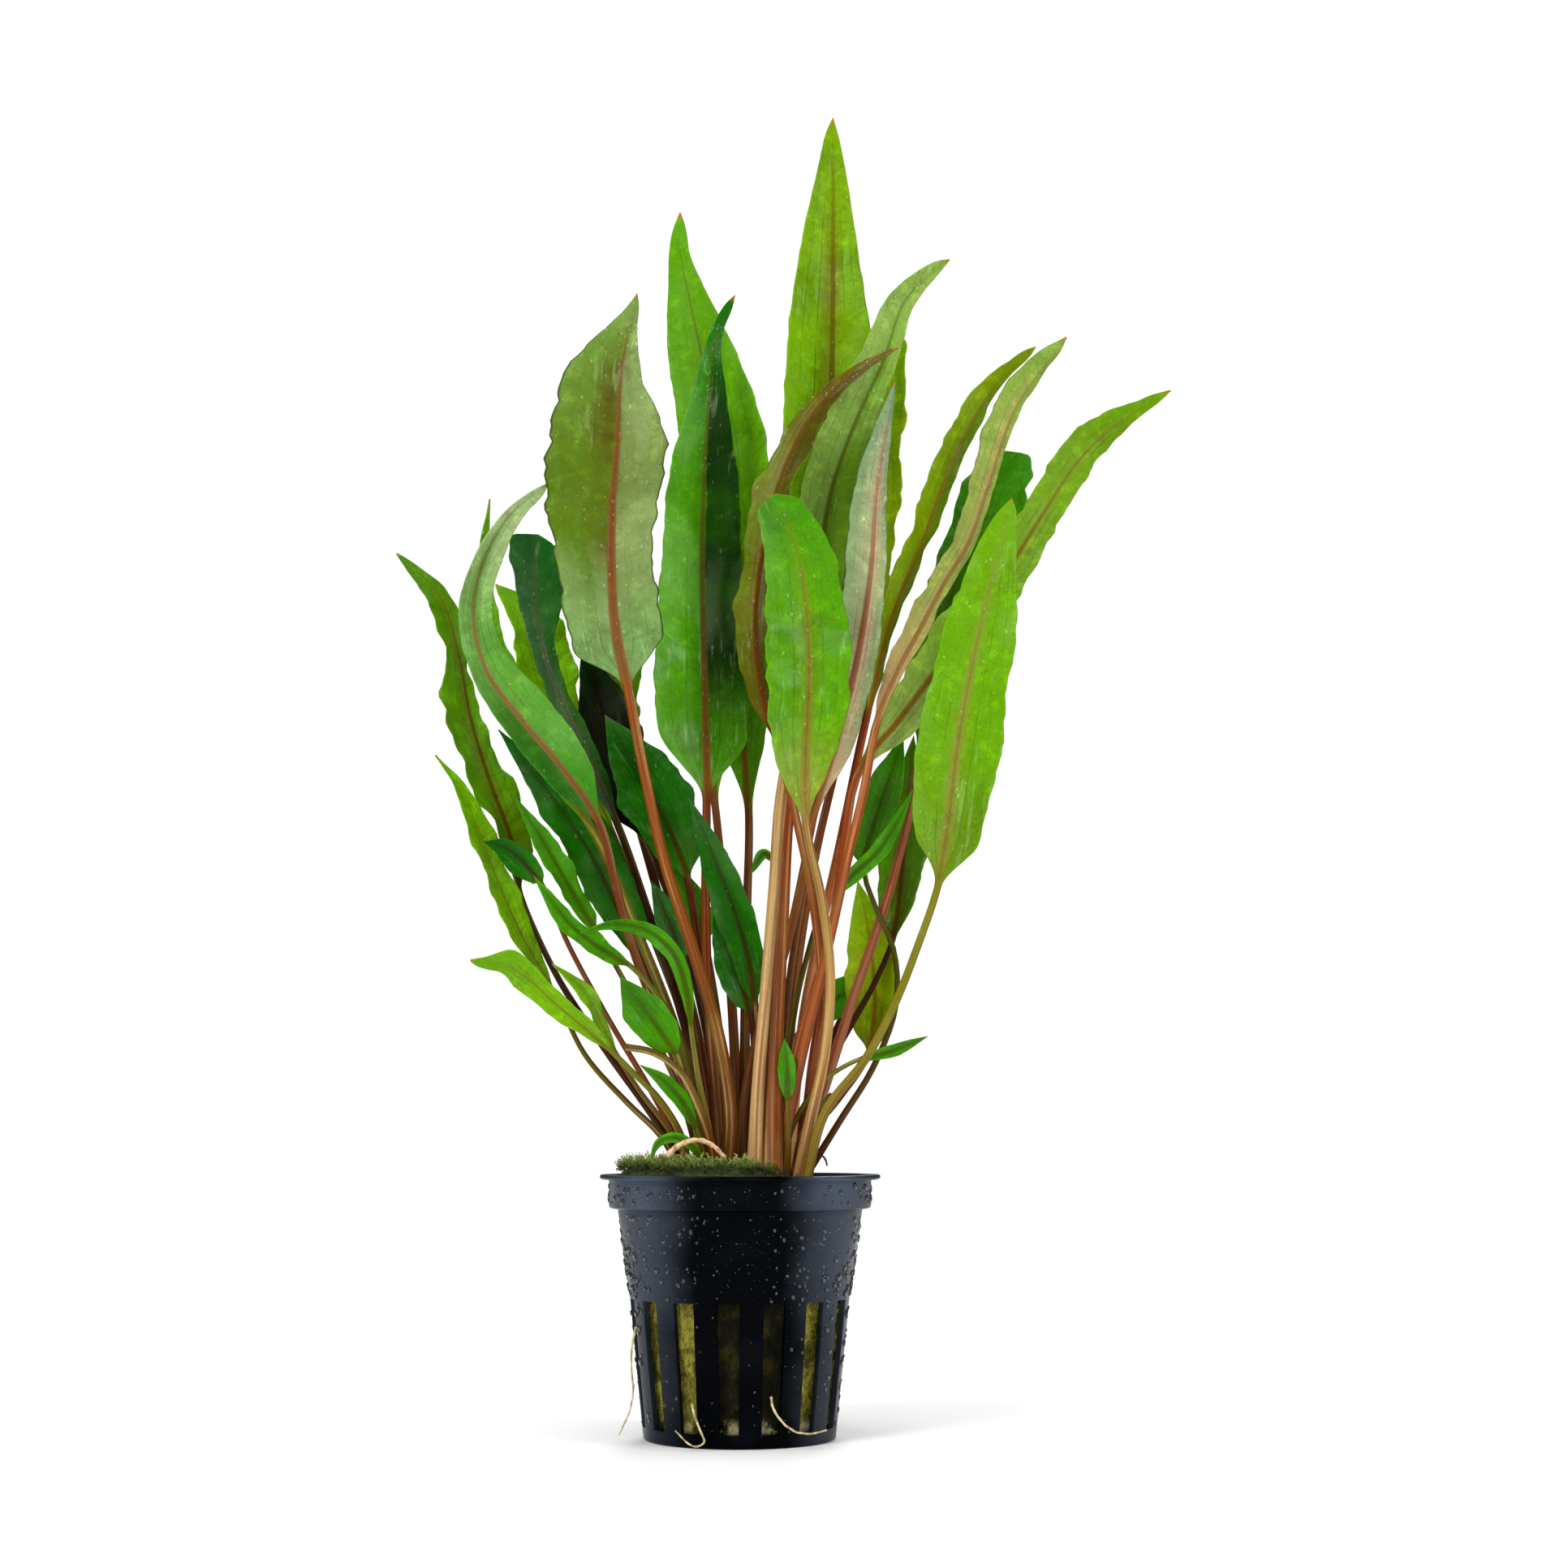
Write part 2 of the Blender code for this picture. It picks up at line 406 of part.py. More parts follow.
def blade_reach(leaf, along, turn):
    """How far the blade goes from its midrib towards its two sides."""
    if leaf.name not in OUTLINES:
        facing = np.cos(turn)
        half = 0.5 * leaf.width / np.maximum(np.abs(facing), 0.6) * blade_share(leaf, along)
        rib_place = leaf.rib[0] + (leaf.rib[1] - leaf.rib[0]) * along
        first = 2 * np.where(facing > 0, rib_place, 1 - rib_place)
        return half * first, half * (2 - first)
    knots = np.array(OUTLINE_AT)
    left, right = (smooth_curve(knots, np.array((0.0, *widths, 0.1)), along) for widths in OUTLINES[leaf.name])
    fold = math.radians(leaf.fold)
    reaches = []
    for sign in (-1, 1):
        shown = np.abs(sign * math.cos(fold) * np.cos(turn) + math.sin(fold) * np.sin(turn))
        wanted = np.where(sign * np.cos(turn) > 0, right, left)
        reaches.append(wanted / np.maximum(shown, LEAST_SHOWN))
    return reaches


def leaf_rings(leaf, route, at, offset):
    """Six-sided rings of a leaf solid: a round stalk that opens into a thin folded blade."""
    centre, side, upper, along, turn = leaf_frames(leaf, route, at, offset)
    stalk = 0.5 * (leaf.stem[0] + (leaf.stem[1] - leaf.stem[0]) * np.clip(at / route.base, 0, 1))
    stalk = stalk * (1 - 0.75 * along)
    spread = np.clip(along / 0.13, 0, 1)
    fold = math.radians(leaf.fold)
    edge = 0.45 * stalk + (0.5 * EDGE_THICK - 0.45 * stalk) * spread
    rib = 0.85 * stalk
    rib = rib + (0.5 * (RIB_THICK + (TIP_THICK - RIB_THICK) * along) - rib) * spread
    rings = []
    for sign, width in zip((-1, 1), blade_reach(leaf, along, turn)):
        reach = np.maximum(width, 0.87 * stalk)
        place = centre + side * (sign * reach * math.cos(fold))[:, None]
        lift = np.where(width > 0.87 * stalk, reach * math.sin(fold), 0.0)
        place = place + upper * (lift * spread)[:, None]
        rings.append((place + upper * edge[:, None], place - upper * edge[:, None]))
    crest = centre + upper * rib[:, None]
    keel = centre - upper * rib[:, None]
    (left_top, left_low), (right_top, right_low) = rings
    return np.stack((left_top, crest, right_top, right_low, keel, left_low), axis=1)


def surface_samples(rings):
    """Points spread closely over a leaf's rings, with the ring position of each."""
    count = len(rings)
    closed = np.concatenate((rings, rings[:, :1]), axis=1)
    steps = (8, 8, 1, 8, 8, 1)
    strips = [closed[:, k:k + 1] + (closed[:, k + 1:k + 2] - closed[:, k:k + 1])
              * (np.arange(steps[k]) / steps[k])[None, :, None] for k in range(6)]
    around = np.concatenate(strips, axis=1)
    place = np.linspace(0, count - 1, (count - 1) * 12 + 1)
    low = np.minimum(place.astype(int), count - 2)
    share = (place - low)[:, None, None]
    points = around[low] * (1 - share) + around[low + 1] * share
    return points.reshape(-1, 3), np.repeat(place, around.shape[1])


def meetings(leaves, routes, offsets):
    """For every cell of the front view: the nearest and farthest depth of each leaf found in it."""
    cells, owners, depths, places = [], [], [], []
    for index, (leaf, route, offset) in enumerate(zip(leaves, routes, offsets)):
        rings = leaf_rings(leaf, route, ring_stations(leaf, route), offset)
        points, place = surface_samples(rings)
        x, z = drawn(points)
        cells.append(np.floor(x / CELL).astype(int) * 4096 + np.floor(z / CELL).astype(int))
        owners.append(np.full(len(points), index))
        depths.append(points[:, 1])
        places.append(place)
    cells, owners, depths, places = map(np.concatenate, (cells, owners, depths, places))
    order = np.lexsort((depths, owners, cells))
    cells, owners, depths, places = cells[order], owners[order], depths[order], places[order]
    first = np.concatenate(([True], (cells[1:] != cells[:-1]) | (owners[1:] != owners[:-1])))
    start = np.flatnonzero(first)
    end = np.concatenate((start[1:], [len(cells)])) - 1
    return cells[start], owners[start], depths[start], places[start], depths[end], places[end]


def settle(leaves, routes):
    """Depth offsets, one per ring, that part leaves which would cross and keep the front view as it is."""
    sizes = [len(ring_stations(leaf, route)) for leaf, route in zip(leaves, routes)]
    offsets = [np.zeros(size) for size in sizes]
    widest = max(sizes)
    order = None
    for _ in range(SETTLE_ROUNDS):
        cell, owner, near, near_at, far, far_at = meetings(leaves, routes, offsets)
        pairs = []
        for step in range(1, 20):
            same = np.flatnonzero(cell[step:] == cell[:-step])
            if not len(same):
                break
            pairs.append(np.stack((same, same + step)))
        one, two = np.concatenate(pairs, axis=1)
        blades = ((far_at[one] > STALK_RINGS - 1) | (far_at[two] > STALK_RINGS - 1)).astype(int)
        if order is None:
            order = np.zeros((2, len(leaves), len(leaves)))
            gap = (near + far)[two] - (near + far)[one]
            np.add.at(order, (blades, owner[one], owner[two]), gap)
        one_first = order[blades, owner[one], owner[two]] >= 0
        front = np.where(one_first, one, two)
        back = np.where(one_first, two, one)
        lack = far[front] + SETTLE_GAP - near[back]
        keep = lack > 0
        front, back, lack = front[keep], back[keep], lack[keep]
        if not len(lack):
            break
        forward = np.zeros((len(leaves), widest))
        backward = np.zeros((len(leaves), widest))
        np.maximum.at(forward, (owner[front], np.round(far_at[front]).astype(int)), 0.5 * lack)
        np.maximum.at(backward, (owner[back], np.round(near_at[back]).astype(int)), 0.5 * lack)
        for index, size in enumerate(sizes):
            push = (backward - forward)[index, :size]
            around = np.convolve(np.pad(push, 1, mode="edge"), (0.3, 0.4, 0.3), mode="valid")
            offsets[index] += 0.7 * np.where(np.abs(around) > np.abs(push), around, push)
    return offsets


# Builders: each makes one piece of the plant or its pot as a mesh object.
def clear_scene():
    for thing in list(bpy.data.objects):
        bpy.data.objects.remove(thing, do_unlink=True)


def new_collection(name):
    collection = bpy.data.collections.new(name)
    bpy.context.scene.collection.children.link(collection)
    return collection


def plain_material(name, colour, roughness):
    material = bpy.data.materials.new(name)
    material.use_nodes = True
    shader = material.node_tree.nodes["Principled BSDF"]
    shader.inputs["Base Color"].default_value = (*colour, 1.0)
    shader.inputs["Roughness"].default_value = roughness
    return material


def add_mesh(name, points, faces, collection, material=None):
    """A mesh object from points in millimetres."""
    mesh = bpy.data.meshes.new(name)
    mesh.from_pydata([tuple(float(c) * MM for c in point) for point in points], [], faces)
    shaped = bmesh.new()
    shaped.from_mesh(mesh)
    bmesh.ops.recalc_face_normals(shaped, faces=shaped.faces)
    shaped.to_mesh(mesh)
    shaped.free()
    thing = bpy.data.objects.new(name, mesh)
    collection.objects.link(thing)
    if material:
        mesh.materials.append(material)
    return thing


def lathe(name, profile, steps, collection, material=None):
    """A closed profile of (radius, height) pairs turned about the pot's axis."""
    mesh = bpy.data.meshes.new(name)
    count = len(profile)
    edges = [(k, (k + 1) % count) for k in range(count)]
    if profile[0][0] == 0 and profile[-1][0] == 0:
        edges.pop()
    mesh.from_pydata([(radius * MM, 0.0, height * MM) for radius, height in profile], edges, [])
    thing = bpy.data.objects.new(name, mesh)
    collection.objects.link(thing)
    turn = thing.modifiers.new("turn", "SCREW")
    turn.steps = steps
    turn.render_steps = steps
    turn.use_merge_vertices = True
    turn.merge_threshold = 0.00005
    turn.use_normal_calculate = True
    if material:
        mesh.materials.append(material)
    return thing


def cut(thing, cutter):
    cutter.hide_render = True
    cutter.display_type = "WIRE"
    boolean = thing.modifiers.new("cut", "BOOLEAN")
    boolean.operation = "DIFFERENCE"
    boolean.solver = "EXACT"
    boolean.object = cutter


def block(corners_low, corners_high):
    """The points and faces of a block between two four-cornered ends."""
    points = list(corners_low) + list(corners_high)
    sides = [(k, (k + 1) % 4, (k + 1) % 4 + 4, k + 4) for k in range(4)]
    return points, [(3, 2, 1, 0), (4, 5, 6, 7)] + sides


def turned(points, angle):
    c, s = math.cos(angle), math.sin(angle)
    return [(x * c - y * s, x * s + y * c, z) for x, y, z in points]


def openings_cutter(collection):
    """One mesh that cuts all wall slots and floor slots."""
    points, faces = [], []

    def add(block_points, block_faces):
        start = len(points)
        points.extend(block_points)
        faces.extend(tuple(start + k for k in face) for face in block_faces)

    inner, outer = BASE_RADIUS - 6.0, COLLAR_RADIUS + 2.0
    for k in range(SLOTS):
        ends = [[(inner, -w / 2, z), (outer, -w / 2, z), (outer, w / 2, z), (inner, w / 2, z)]
                for w, z in ((SLOT_NARROW, SLOT_FOOT), (SLOT_WIDE, SLOT_TOP))]
        low, high = (turned(end, SLOT_PHASE + math.tau * k / SLOTS) for end in ends)
        add(*block(low, high))
    for k in range(DRAINS):
        half = DRAIN_WIDE / 2
        flat = ((DRAIN_FROM, -half), (DRAIN_TO, -half), (DRAIN_TO, half), (DRAIN_FROM, half))
        low, high = (turned([(x, y, z) for x, y in flat], math.tau * k / DRAINS)
                     for z in (-1.0, FLOOR + 0.6))
        add(*block(low, high))
    return add_mesh("pot_openings", points, faces, collection)


def wall_radius(height):
    """The pot's outer radius below the collar."""
    return float(np.interp(height, (BASE_ROUNDING, SLOT_TOP, COLLAR_FOOT),
                           (BASE_RADIUS, WALL_MIDDLE_RADIUS, WALL_TOP_RADIUS)))


def make_pot(collection, cutters, material):
    inner_step = COLLAR_FOOT + 0.9
    profile = [
        (COLLAR_RADIUS - WALL, RIM_TOP),
        (RIM_RADIUS - 0.2, RIM_TOP),
        (RIM_RADIUS, RIM_TOP - 0.2),
        (RIM_RADIUS, RIM_TOP - RIM_THICK + 0.2),
        (RIM_RADIUS - 0.2, RIM_TOP - RIM_THICK),
        (COLLAR_RADIUS + 0.3, RIM_TOP - RIM_THICK - 0.1),
        (COLLAR_RADIUS, RIM_TOP - RIM_THICK - 0.5),
        (COLLAR_RADIUS, COLLAR_FOOT + 0.4),
        (COLLAR_RADIUS - 0.4, COLLAR_FOOT),
        (WALL_TOP_RADIUS + 0.2, COLLAR_FOOT - 0.1),
        (WALL_TOP_RADIUS, COLLAR_FOOT - 0.5),
        (wall_radius(36.0), 36.0),
        (wall_radius(SLOT_TOP), SLOT_TOP + 0.4),
        (wall_radius(14.0), 14.0),
        (BASE_RADIUS, BASE_ROUNDING),
        (BASE_RADIUS - 0.3 * BASE_ROUNDING, 0.3 * BASE_ROUNDING),
        (BASE_RADIUS - BASE_ROUNDING, 0.0),
        (0.0, 0.0),
        (0.0, FLOOR),
        (wall_radius(FLOOR) - WALL, FLOOR),
        (wall_radius(14.0) - WALL, 14.0),
        (wall_radius(SLOT_TOP) - WALL, SLOT_TOP + 0.4),
        (wall_radius(36.0) - WALL, 36.0),
        (WALL_TOP_RADIUS - WALL, inner_step - 0.3),
        (COLLAR_RADIUS - WALL, inner_step + 0.5),
    ]
    pot = lathe("pot", profile, POT_STEPS, collection, material)
    cut(pot, openings_cutter(cutters))
    return pot


def oval_cutter(name, margin, low, high, collection):
    """An upright oval block, larger than the crown by margin."""
    count = 40
    ring = [((CROWN_RADII[0] + margin) * math.cos(math.tau * k / count) + CROWN_CENTRE[0],
             (CROWN_RADII[1] + margin) * math.sin(math.tau * k / count) + CROWN_CENTRE[1])
            for k in range(count)]
    points = [(x, y, z) for z in (low, high) for x, y in ring]
    sides = [(k, (k + 1) % count, (k + 1) % count + count, k + count) for k in range(count)]
    ends = [tuple(reversed(range(count))), tuple(range(count, 2 * count))]
    return add_mesh(name, points, sides + ends, collection)


def make_wool(collection, cutters, material):
    gap = WALL + WOOL_CLEARANCE
    foot = FLOOR + GAP
    profile = [
        (0.0, WOOL_TOP),
        (WALL_TOP_RADIUS - gap - 1.0, WOOL_TOP),
        (WALL_TOP_RADIUS - gap, WOOL_TOP - 2.2),
        (wall_radius(36.0) - gap, 36.0),
        (wall_radius(SLOT_TOP) - gap, SLOT_TOP),
        (wall_radius(14.0) - gap, 14.0),
        (wall_radius(foot) - gap, foot + 0.8),
        (wall_radius(foot) - gap - 0.8, foot),
        (0.0, foot),
    ]
    wool = lathe("rock_wool", profile, 48, collection, material)
    cut(wool, oval_cutter("wool_pocket", POCKET_MARGIN, CROWN_FOOT - GAP, WOOL_TOP + 2.0, cutters))
    return wool


def make_crown(collection, material):
    """The rootstock: a stout oval stump that stands in the wool and carries all stalks."""
    count = 36
    levels = ((0.55, CROWN_FOOT), (0.85, CROWN_FOOT + 2.5), (1.0, CROWN_FOOT + 7.0), (1.0, 41.0),
              (1.0, CROWN_TOP - 0.8), (0.97, CROWN_TOP))
    points = [(CROWN_CENTRE[0] + CROWN_RADII[0] * share * math.cos(math.tau * k / count),
               CROWN_CENTRE[1] + CROWN_RADII[1] * share * math.sin(math.tau * k / count), height)
              for share, height in levels for k in range(count)]
    faces = [(r * count + k, r * count + (k + 1) % count, (r + 1) * count + (k + 1) % count,
              (r + 1) * count + k) for r in range(len(levels) - 1) for k in range(count)]
    last = (len(levels) - 1) * count
    faces += [tuple(reversed(range(count))), tuple(range(last, last + count))]
    return add_mesh("rootstock", points, faces, collection, material)


def make_moss(collection, cutters, material):
    """A mat of moss on the wool: high on the left and in front, low on the right."""
    count = 60
    foot = WOOL_TOP + GAP
    rows = ((0.0, foot), (MOSS_RADIUS, foot), (MOSS_RADIUS, foot + 1.5), (MOSS_RADIUS - 1.2, 1.0),
            (MOSS_RADIUS - 5.5, 1.0), (0.0, 1.0))

    def top_at(x, y, share):
        slope = np.clip((x - 2.0) / 12.0 + max(y, 0.0) / 30.0, 0.0, 1.0)
        full = MOSS_TOP + (MOSS_LOW_TOP - MOSS_TOP) * slope
        return full - 1.6 * share

    points, rings = [], []
    for radius, height in rows:
        ring = []
        for k in range(count if radius else 1):
            x = radius * math.cos(math.tau * k / count)
            y = radius * math.sin(math.tau * k / count)
            z = height if height != 1.0 else top_at(x, y, 1.0 if radius > MOSS_RADIUS - 2 else 0.0)
            ring.append(len(points))
            points.append((x, y, z))
        rings.append(ring)
    faces = []
    for low, high in zip(rings[:-1], rings[1:]):
        for k in range(count):
            after = (k + 1) % count
            if len(low) == 1:
                faces.append((low[0], high[after], high[k]))
            elif len(high) == 1:
                faces.append((low[k], low[after], high[0]))
            else:
                faces.append((low[k], low[after], high[after], high[k]))
    moss = add_mesh("moss_mat", points, faces, collection, material)
    cut(moss, oval_cutter("moss_opening", MOSS_MARGIN, WOOL_TOP - 2.0, MOSS_TOP + 3.0, cutters))
    return moss


def tube(name, route, widths, collection, material, sides=6, rings=12):
    """A thin root or runner along real points, with its width at the start and at the end."""
    path = np.array(route, float)
    knots = np.concatenate(([0.0], np.cumsum(np.linalg.norm(np.diff(path, axis=0), axis=1))))
    knots = knots / knots[-1]
    at = np.linspace(0.0, 1.0, rings)
    centre = np.stack([smooth_curve(knots, path[:, axis], at) for axis in range(3)], axis=1)
    tangent = unit(np.gradient(centre, at, axis=0))
    side = unit(np.cross(tangent, np.array((0.13, -0.9, 0.2))))
    other = np.cross(tangent, side)
    half = 0.5 * (widths[0] + (widths[1] - widths[0]) * at)
    angles = np.arange(sides) * math.tau / sides
    points = (centre[:, None] + half[:, None, None]
              * (side[:, None] * np.cos(angles)[None, :, None] + other[:, None] * np.sin(angles)[None, :, None]))
    return add_mesh(name, points.reshape(-1, 3), loft_faces(rings, sides), collection, material)


def loft_faces(rings, sides):
    faces = [(r * sides + k, r * sides + (k + 1) % sides, (r + 1) * sides + (k + 1) % sides,
              (r + 1) * sides + k) for r in range(rings - 1) for k in range(sides)]
    last = (rings - 1) * sides
    return faces + [tuple(reversed(range(sides))), tuple(range(last, last + sides))]


ROOTS = (
    ("slot_root_left", ((-19.6, -11.2, 22.0), (-20.2, -11.6, 19.0), (-20.4, -12.0, 15.0), (-20.0, -12.2, 11.0),
                        (-20.3, -12.4, 7.5), (-21.4, -12.6, 4.5), (-22.6, -12.4, 2.0)), (0.5, 0.3)),
    ("slot_root_loop", ((-8.6, -17.6, 8.2), (-8.4, -19.6, 7.6), (-7.4, -20.3, 4.6), (-6.3, -20.8, 1.6),
                        (-7.6, -21.2, 0.9), (-9.2, -21.2, 1.6), (-11.6, -20.9, 3.8)), (0.5, 0.3)),
    ("slot_root_middle", ((6.2, -18.6, 9.6), (6.6, -20.4, 7.8), (8.4, -20.6, 5.2), (11.0, -19.8, 3.4),
                          (14.0, -18.2, 3.0), (16.6, -16.4, 3.4)), (0.5, 0.3)),
    ("slot_root_back", ((-2.0, 19.2, 14.0), (-2.4, 21.4, 11.0), (-1.4, 22.0, 7.0), (0.6, 22.4, 3.4)), (0.5, 0.3)),
)
RUNNER = ((-13.6, -17.6, 54.1), (-12.2, -17.8, 55.6), (-9.8, -18.0, 56.9), (-7.0, -18.0, 57.1),
          (-4.4, -17.8, 55.8), (-2.8, -17.6, 54.0))

PIECE_COLOURS = {
    "pot": ((0.012, 0.016, 0.026), 0.32),
    "rock_wool": ((0.33, 0.29, 0.09), 0.95),
    "rootstock": ((0.22, 0.13, 0.05), 0.8),
    "moss_mat": ((0.05, 0.12, 0.02), 0.95),
    "root": ((0.55, 0.47, 0.27), 0.6),
    "runner": ((0.62, 0.38, 0.25), 0.5),
    "stalk": ((0.30, 0.10, 0.03), 0.45),
}
LEAF_GREEN = (0.13, 0.36, 0.02)


def main():
    clear_scene()
    pieces = new_collection("potted_water_plant")
    cutters = new_collection("cutters")

    def paint(name, kind):
        return plain_material(name + "_colour", *PIECE_COLOURS[kind])

    make_pot(pieces, cutters, paint("pot", "pot"))
    make_wool(pieces, cutters, paint("rock_wool", "rock_wool"))
    make_crown(pieces, paint("rootstock", "rootstock"))
    make_moss(pieces, cutters, paint("moss_mat", "moss_mat"))
    for name, route, widths in ROOTS:
        tube(name, route, widths, pieces, paint(name, "root"))
    tube("runner", RUNNER, (1.3, 1.0), pieces, paint("runner", "runner"))

    routes = [Route(leaf) for leaf in LEAVES]
    offsets = settle(LEAVES, routes)
    for leaf, route, offset in zip(LEAVES, routes, offsets):
        rings = leaf_rings(leaf, route, ring_stations(leaf, route), offset)
        if leaf.blade:
            material = plain_material(leaf.name + "_colour", LEAF_GREEN, 0.4)
        else:
            material = paint(leaf.name, "stalk")
        add_mesh(leaf.name, rings.reshape(-1, 3), loft_faces(len(rings), 6), pieces, material)


main()
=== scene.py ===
"""A potted water plant: a rosette of long-stalked leaves in a slotted black net pot packed with mineral wool.

Lengths are in millimetres and are turned to metres where a mesh is made. The origin is the middle of the pot's
flat underside, +Z is up and the plant is seen from -Y. The leaf routes repeat those of the part's source.
"""

import math
from typing import NamedTuple

import bmesh
import bpy
import numpy as np
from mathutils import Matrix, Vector


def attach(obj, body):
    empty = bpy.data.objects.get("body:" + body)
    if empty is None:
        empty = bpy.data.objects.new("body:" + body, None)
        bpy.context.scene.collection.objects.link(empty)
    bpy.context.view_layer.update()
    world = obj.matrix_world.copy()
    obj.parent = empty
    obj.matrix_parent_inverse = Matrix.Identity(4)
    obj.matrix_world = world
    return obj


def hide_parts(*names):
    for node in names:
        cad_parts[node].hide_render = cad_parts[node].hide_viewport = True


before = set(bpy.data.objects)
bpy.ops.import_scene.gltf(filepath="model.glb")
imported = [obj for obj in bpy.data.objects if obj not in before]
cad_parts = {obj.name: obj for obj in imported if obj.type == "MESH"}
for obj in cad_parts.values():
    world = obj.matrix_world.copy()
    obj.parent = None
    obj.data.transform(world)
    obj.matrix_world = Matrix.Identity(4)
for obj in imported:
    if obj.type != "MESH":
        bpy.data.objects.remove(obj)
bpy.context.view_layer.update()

MM = 0.001
GAP = 0.3

# The pot: a tapered net pot for 50 mm holes, with a thin flat rim and a stepped collar.
RIM_RADIUS = 27.5
RIM_TOP = 50.5
RIM_THICK = 0.9
COLLAR_RADIUS = 25.7
COLLAR_FOOT = 44.0
WALL_TOP_RADIUS = 23.9
WALL_MIDDLE_RADIUS = 21.5
BASE_RADIUS = 18.7
BASE_ROUNDING = 0.8
WALL = 1.1
FLOOR = 1.4
POT_STEPS = 60
SLOTS = 15
SLOT_PHASE = math.radians(-95.0)
SLOT_TOP = 26.8
SLOT_FOOT = 2.6
SLOT_WIDE = 4.4
SLOT_NARROW = 3.6
DRAINS = 6
DRAIN_WIDE = 2.4
DRAIN_FROM = 6.5
DRAIN_TO = 14.5

# The packing and the crown that the leaves grow from.
WOOL_CLEARANCE = 0.5
WOOL_TOP = 46.4
CROWN_CENTRE = (3.0, 0.0)
CROWN_RADII = (15.0, 13.0)
CROWN_TOP = 47.5
CROWN_FOOT = 24.5
POCKET_MARGIN = 0.5
MOSS_RADIUS = 23.9
MOSS_MARGIN = 3.0
MOSS_TOP = 53.4
MOSS_LOW_TOP = 49.2

# The front view in which the leaf routes are drawn: an eye in front of the pot that looks a little up.
EYE = np.array((8.6, -500.0, 58.7))
EYE_PITCH = math.radians(7.88)
VIEW_REACH = 494.4
VIEW_CENTRE = (8.9, 129.5)
SIDEWAYS = np.array((1.0, 0.0, 0.0))
FORWARD = np.array((0.0, math.cos(EYE_PITCH), math.sin(EYE_PITCH)))
UPWARD = np.array((0.0, -math.sin(EYE_PITCH), math.cos(EYE_PITCH)))

# The make of every leaf solid.
STALK_RINGS = 7
BLADE_RINGS = 11
EDGE_THICK = 0.4
RIB_THICK = 1.3
TIP_THICK = 0.5
SETTLE_ROUNDS = 70
SETTLE_GAP = 0.45
CELL = 1.0
LEAST_SHOWN = 0.5


class Leaf(NamedTuple):
    """One leaf: its stalk and midrib as drawn in the front view, and how it stands in depth."""

    name: str
    stalk: tuple
    blade: tuple
    depth: tuple
    width: float = 0.0
    widest: float = 0.45
    turn: tuple = (0.0, 0.0)
    fold: float = 14.0
    rib: tuple = (0.5, 0.5)
    stem: tuple = (2.2, 1.6)
    round: tuple = (0.6, 1.0)


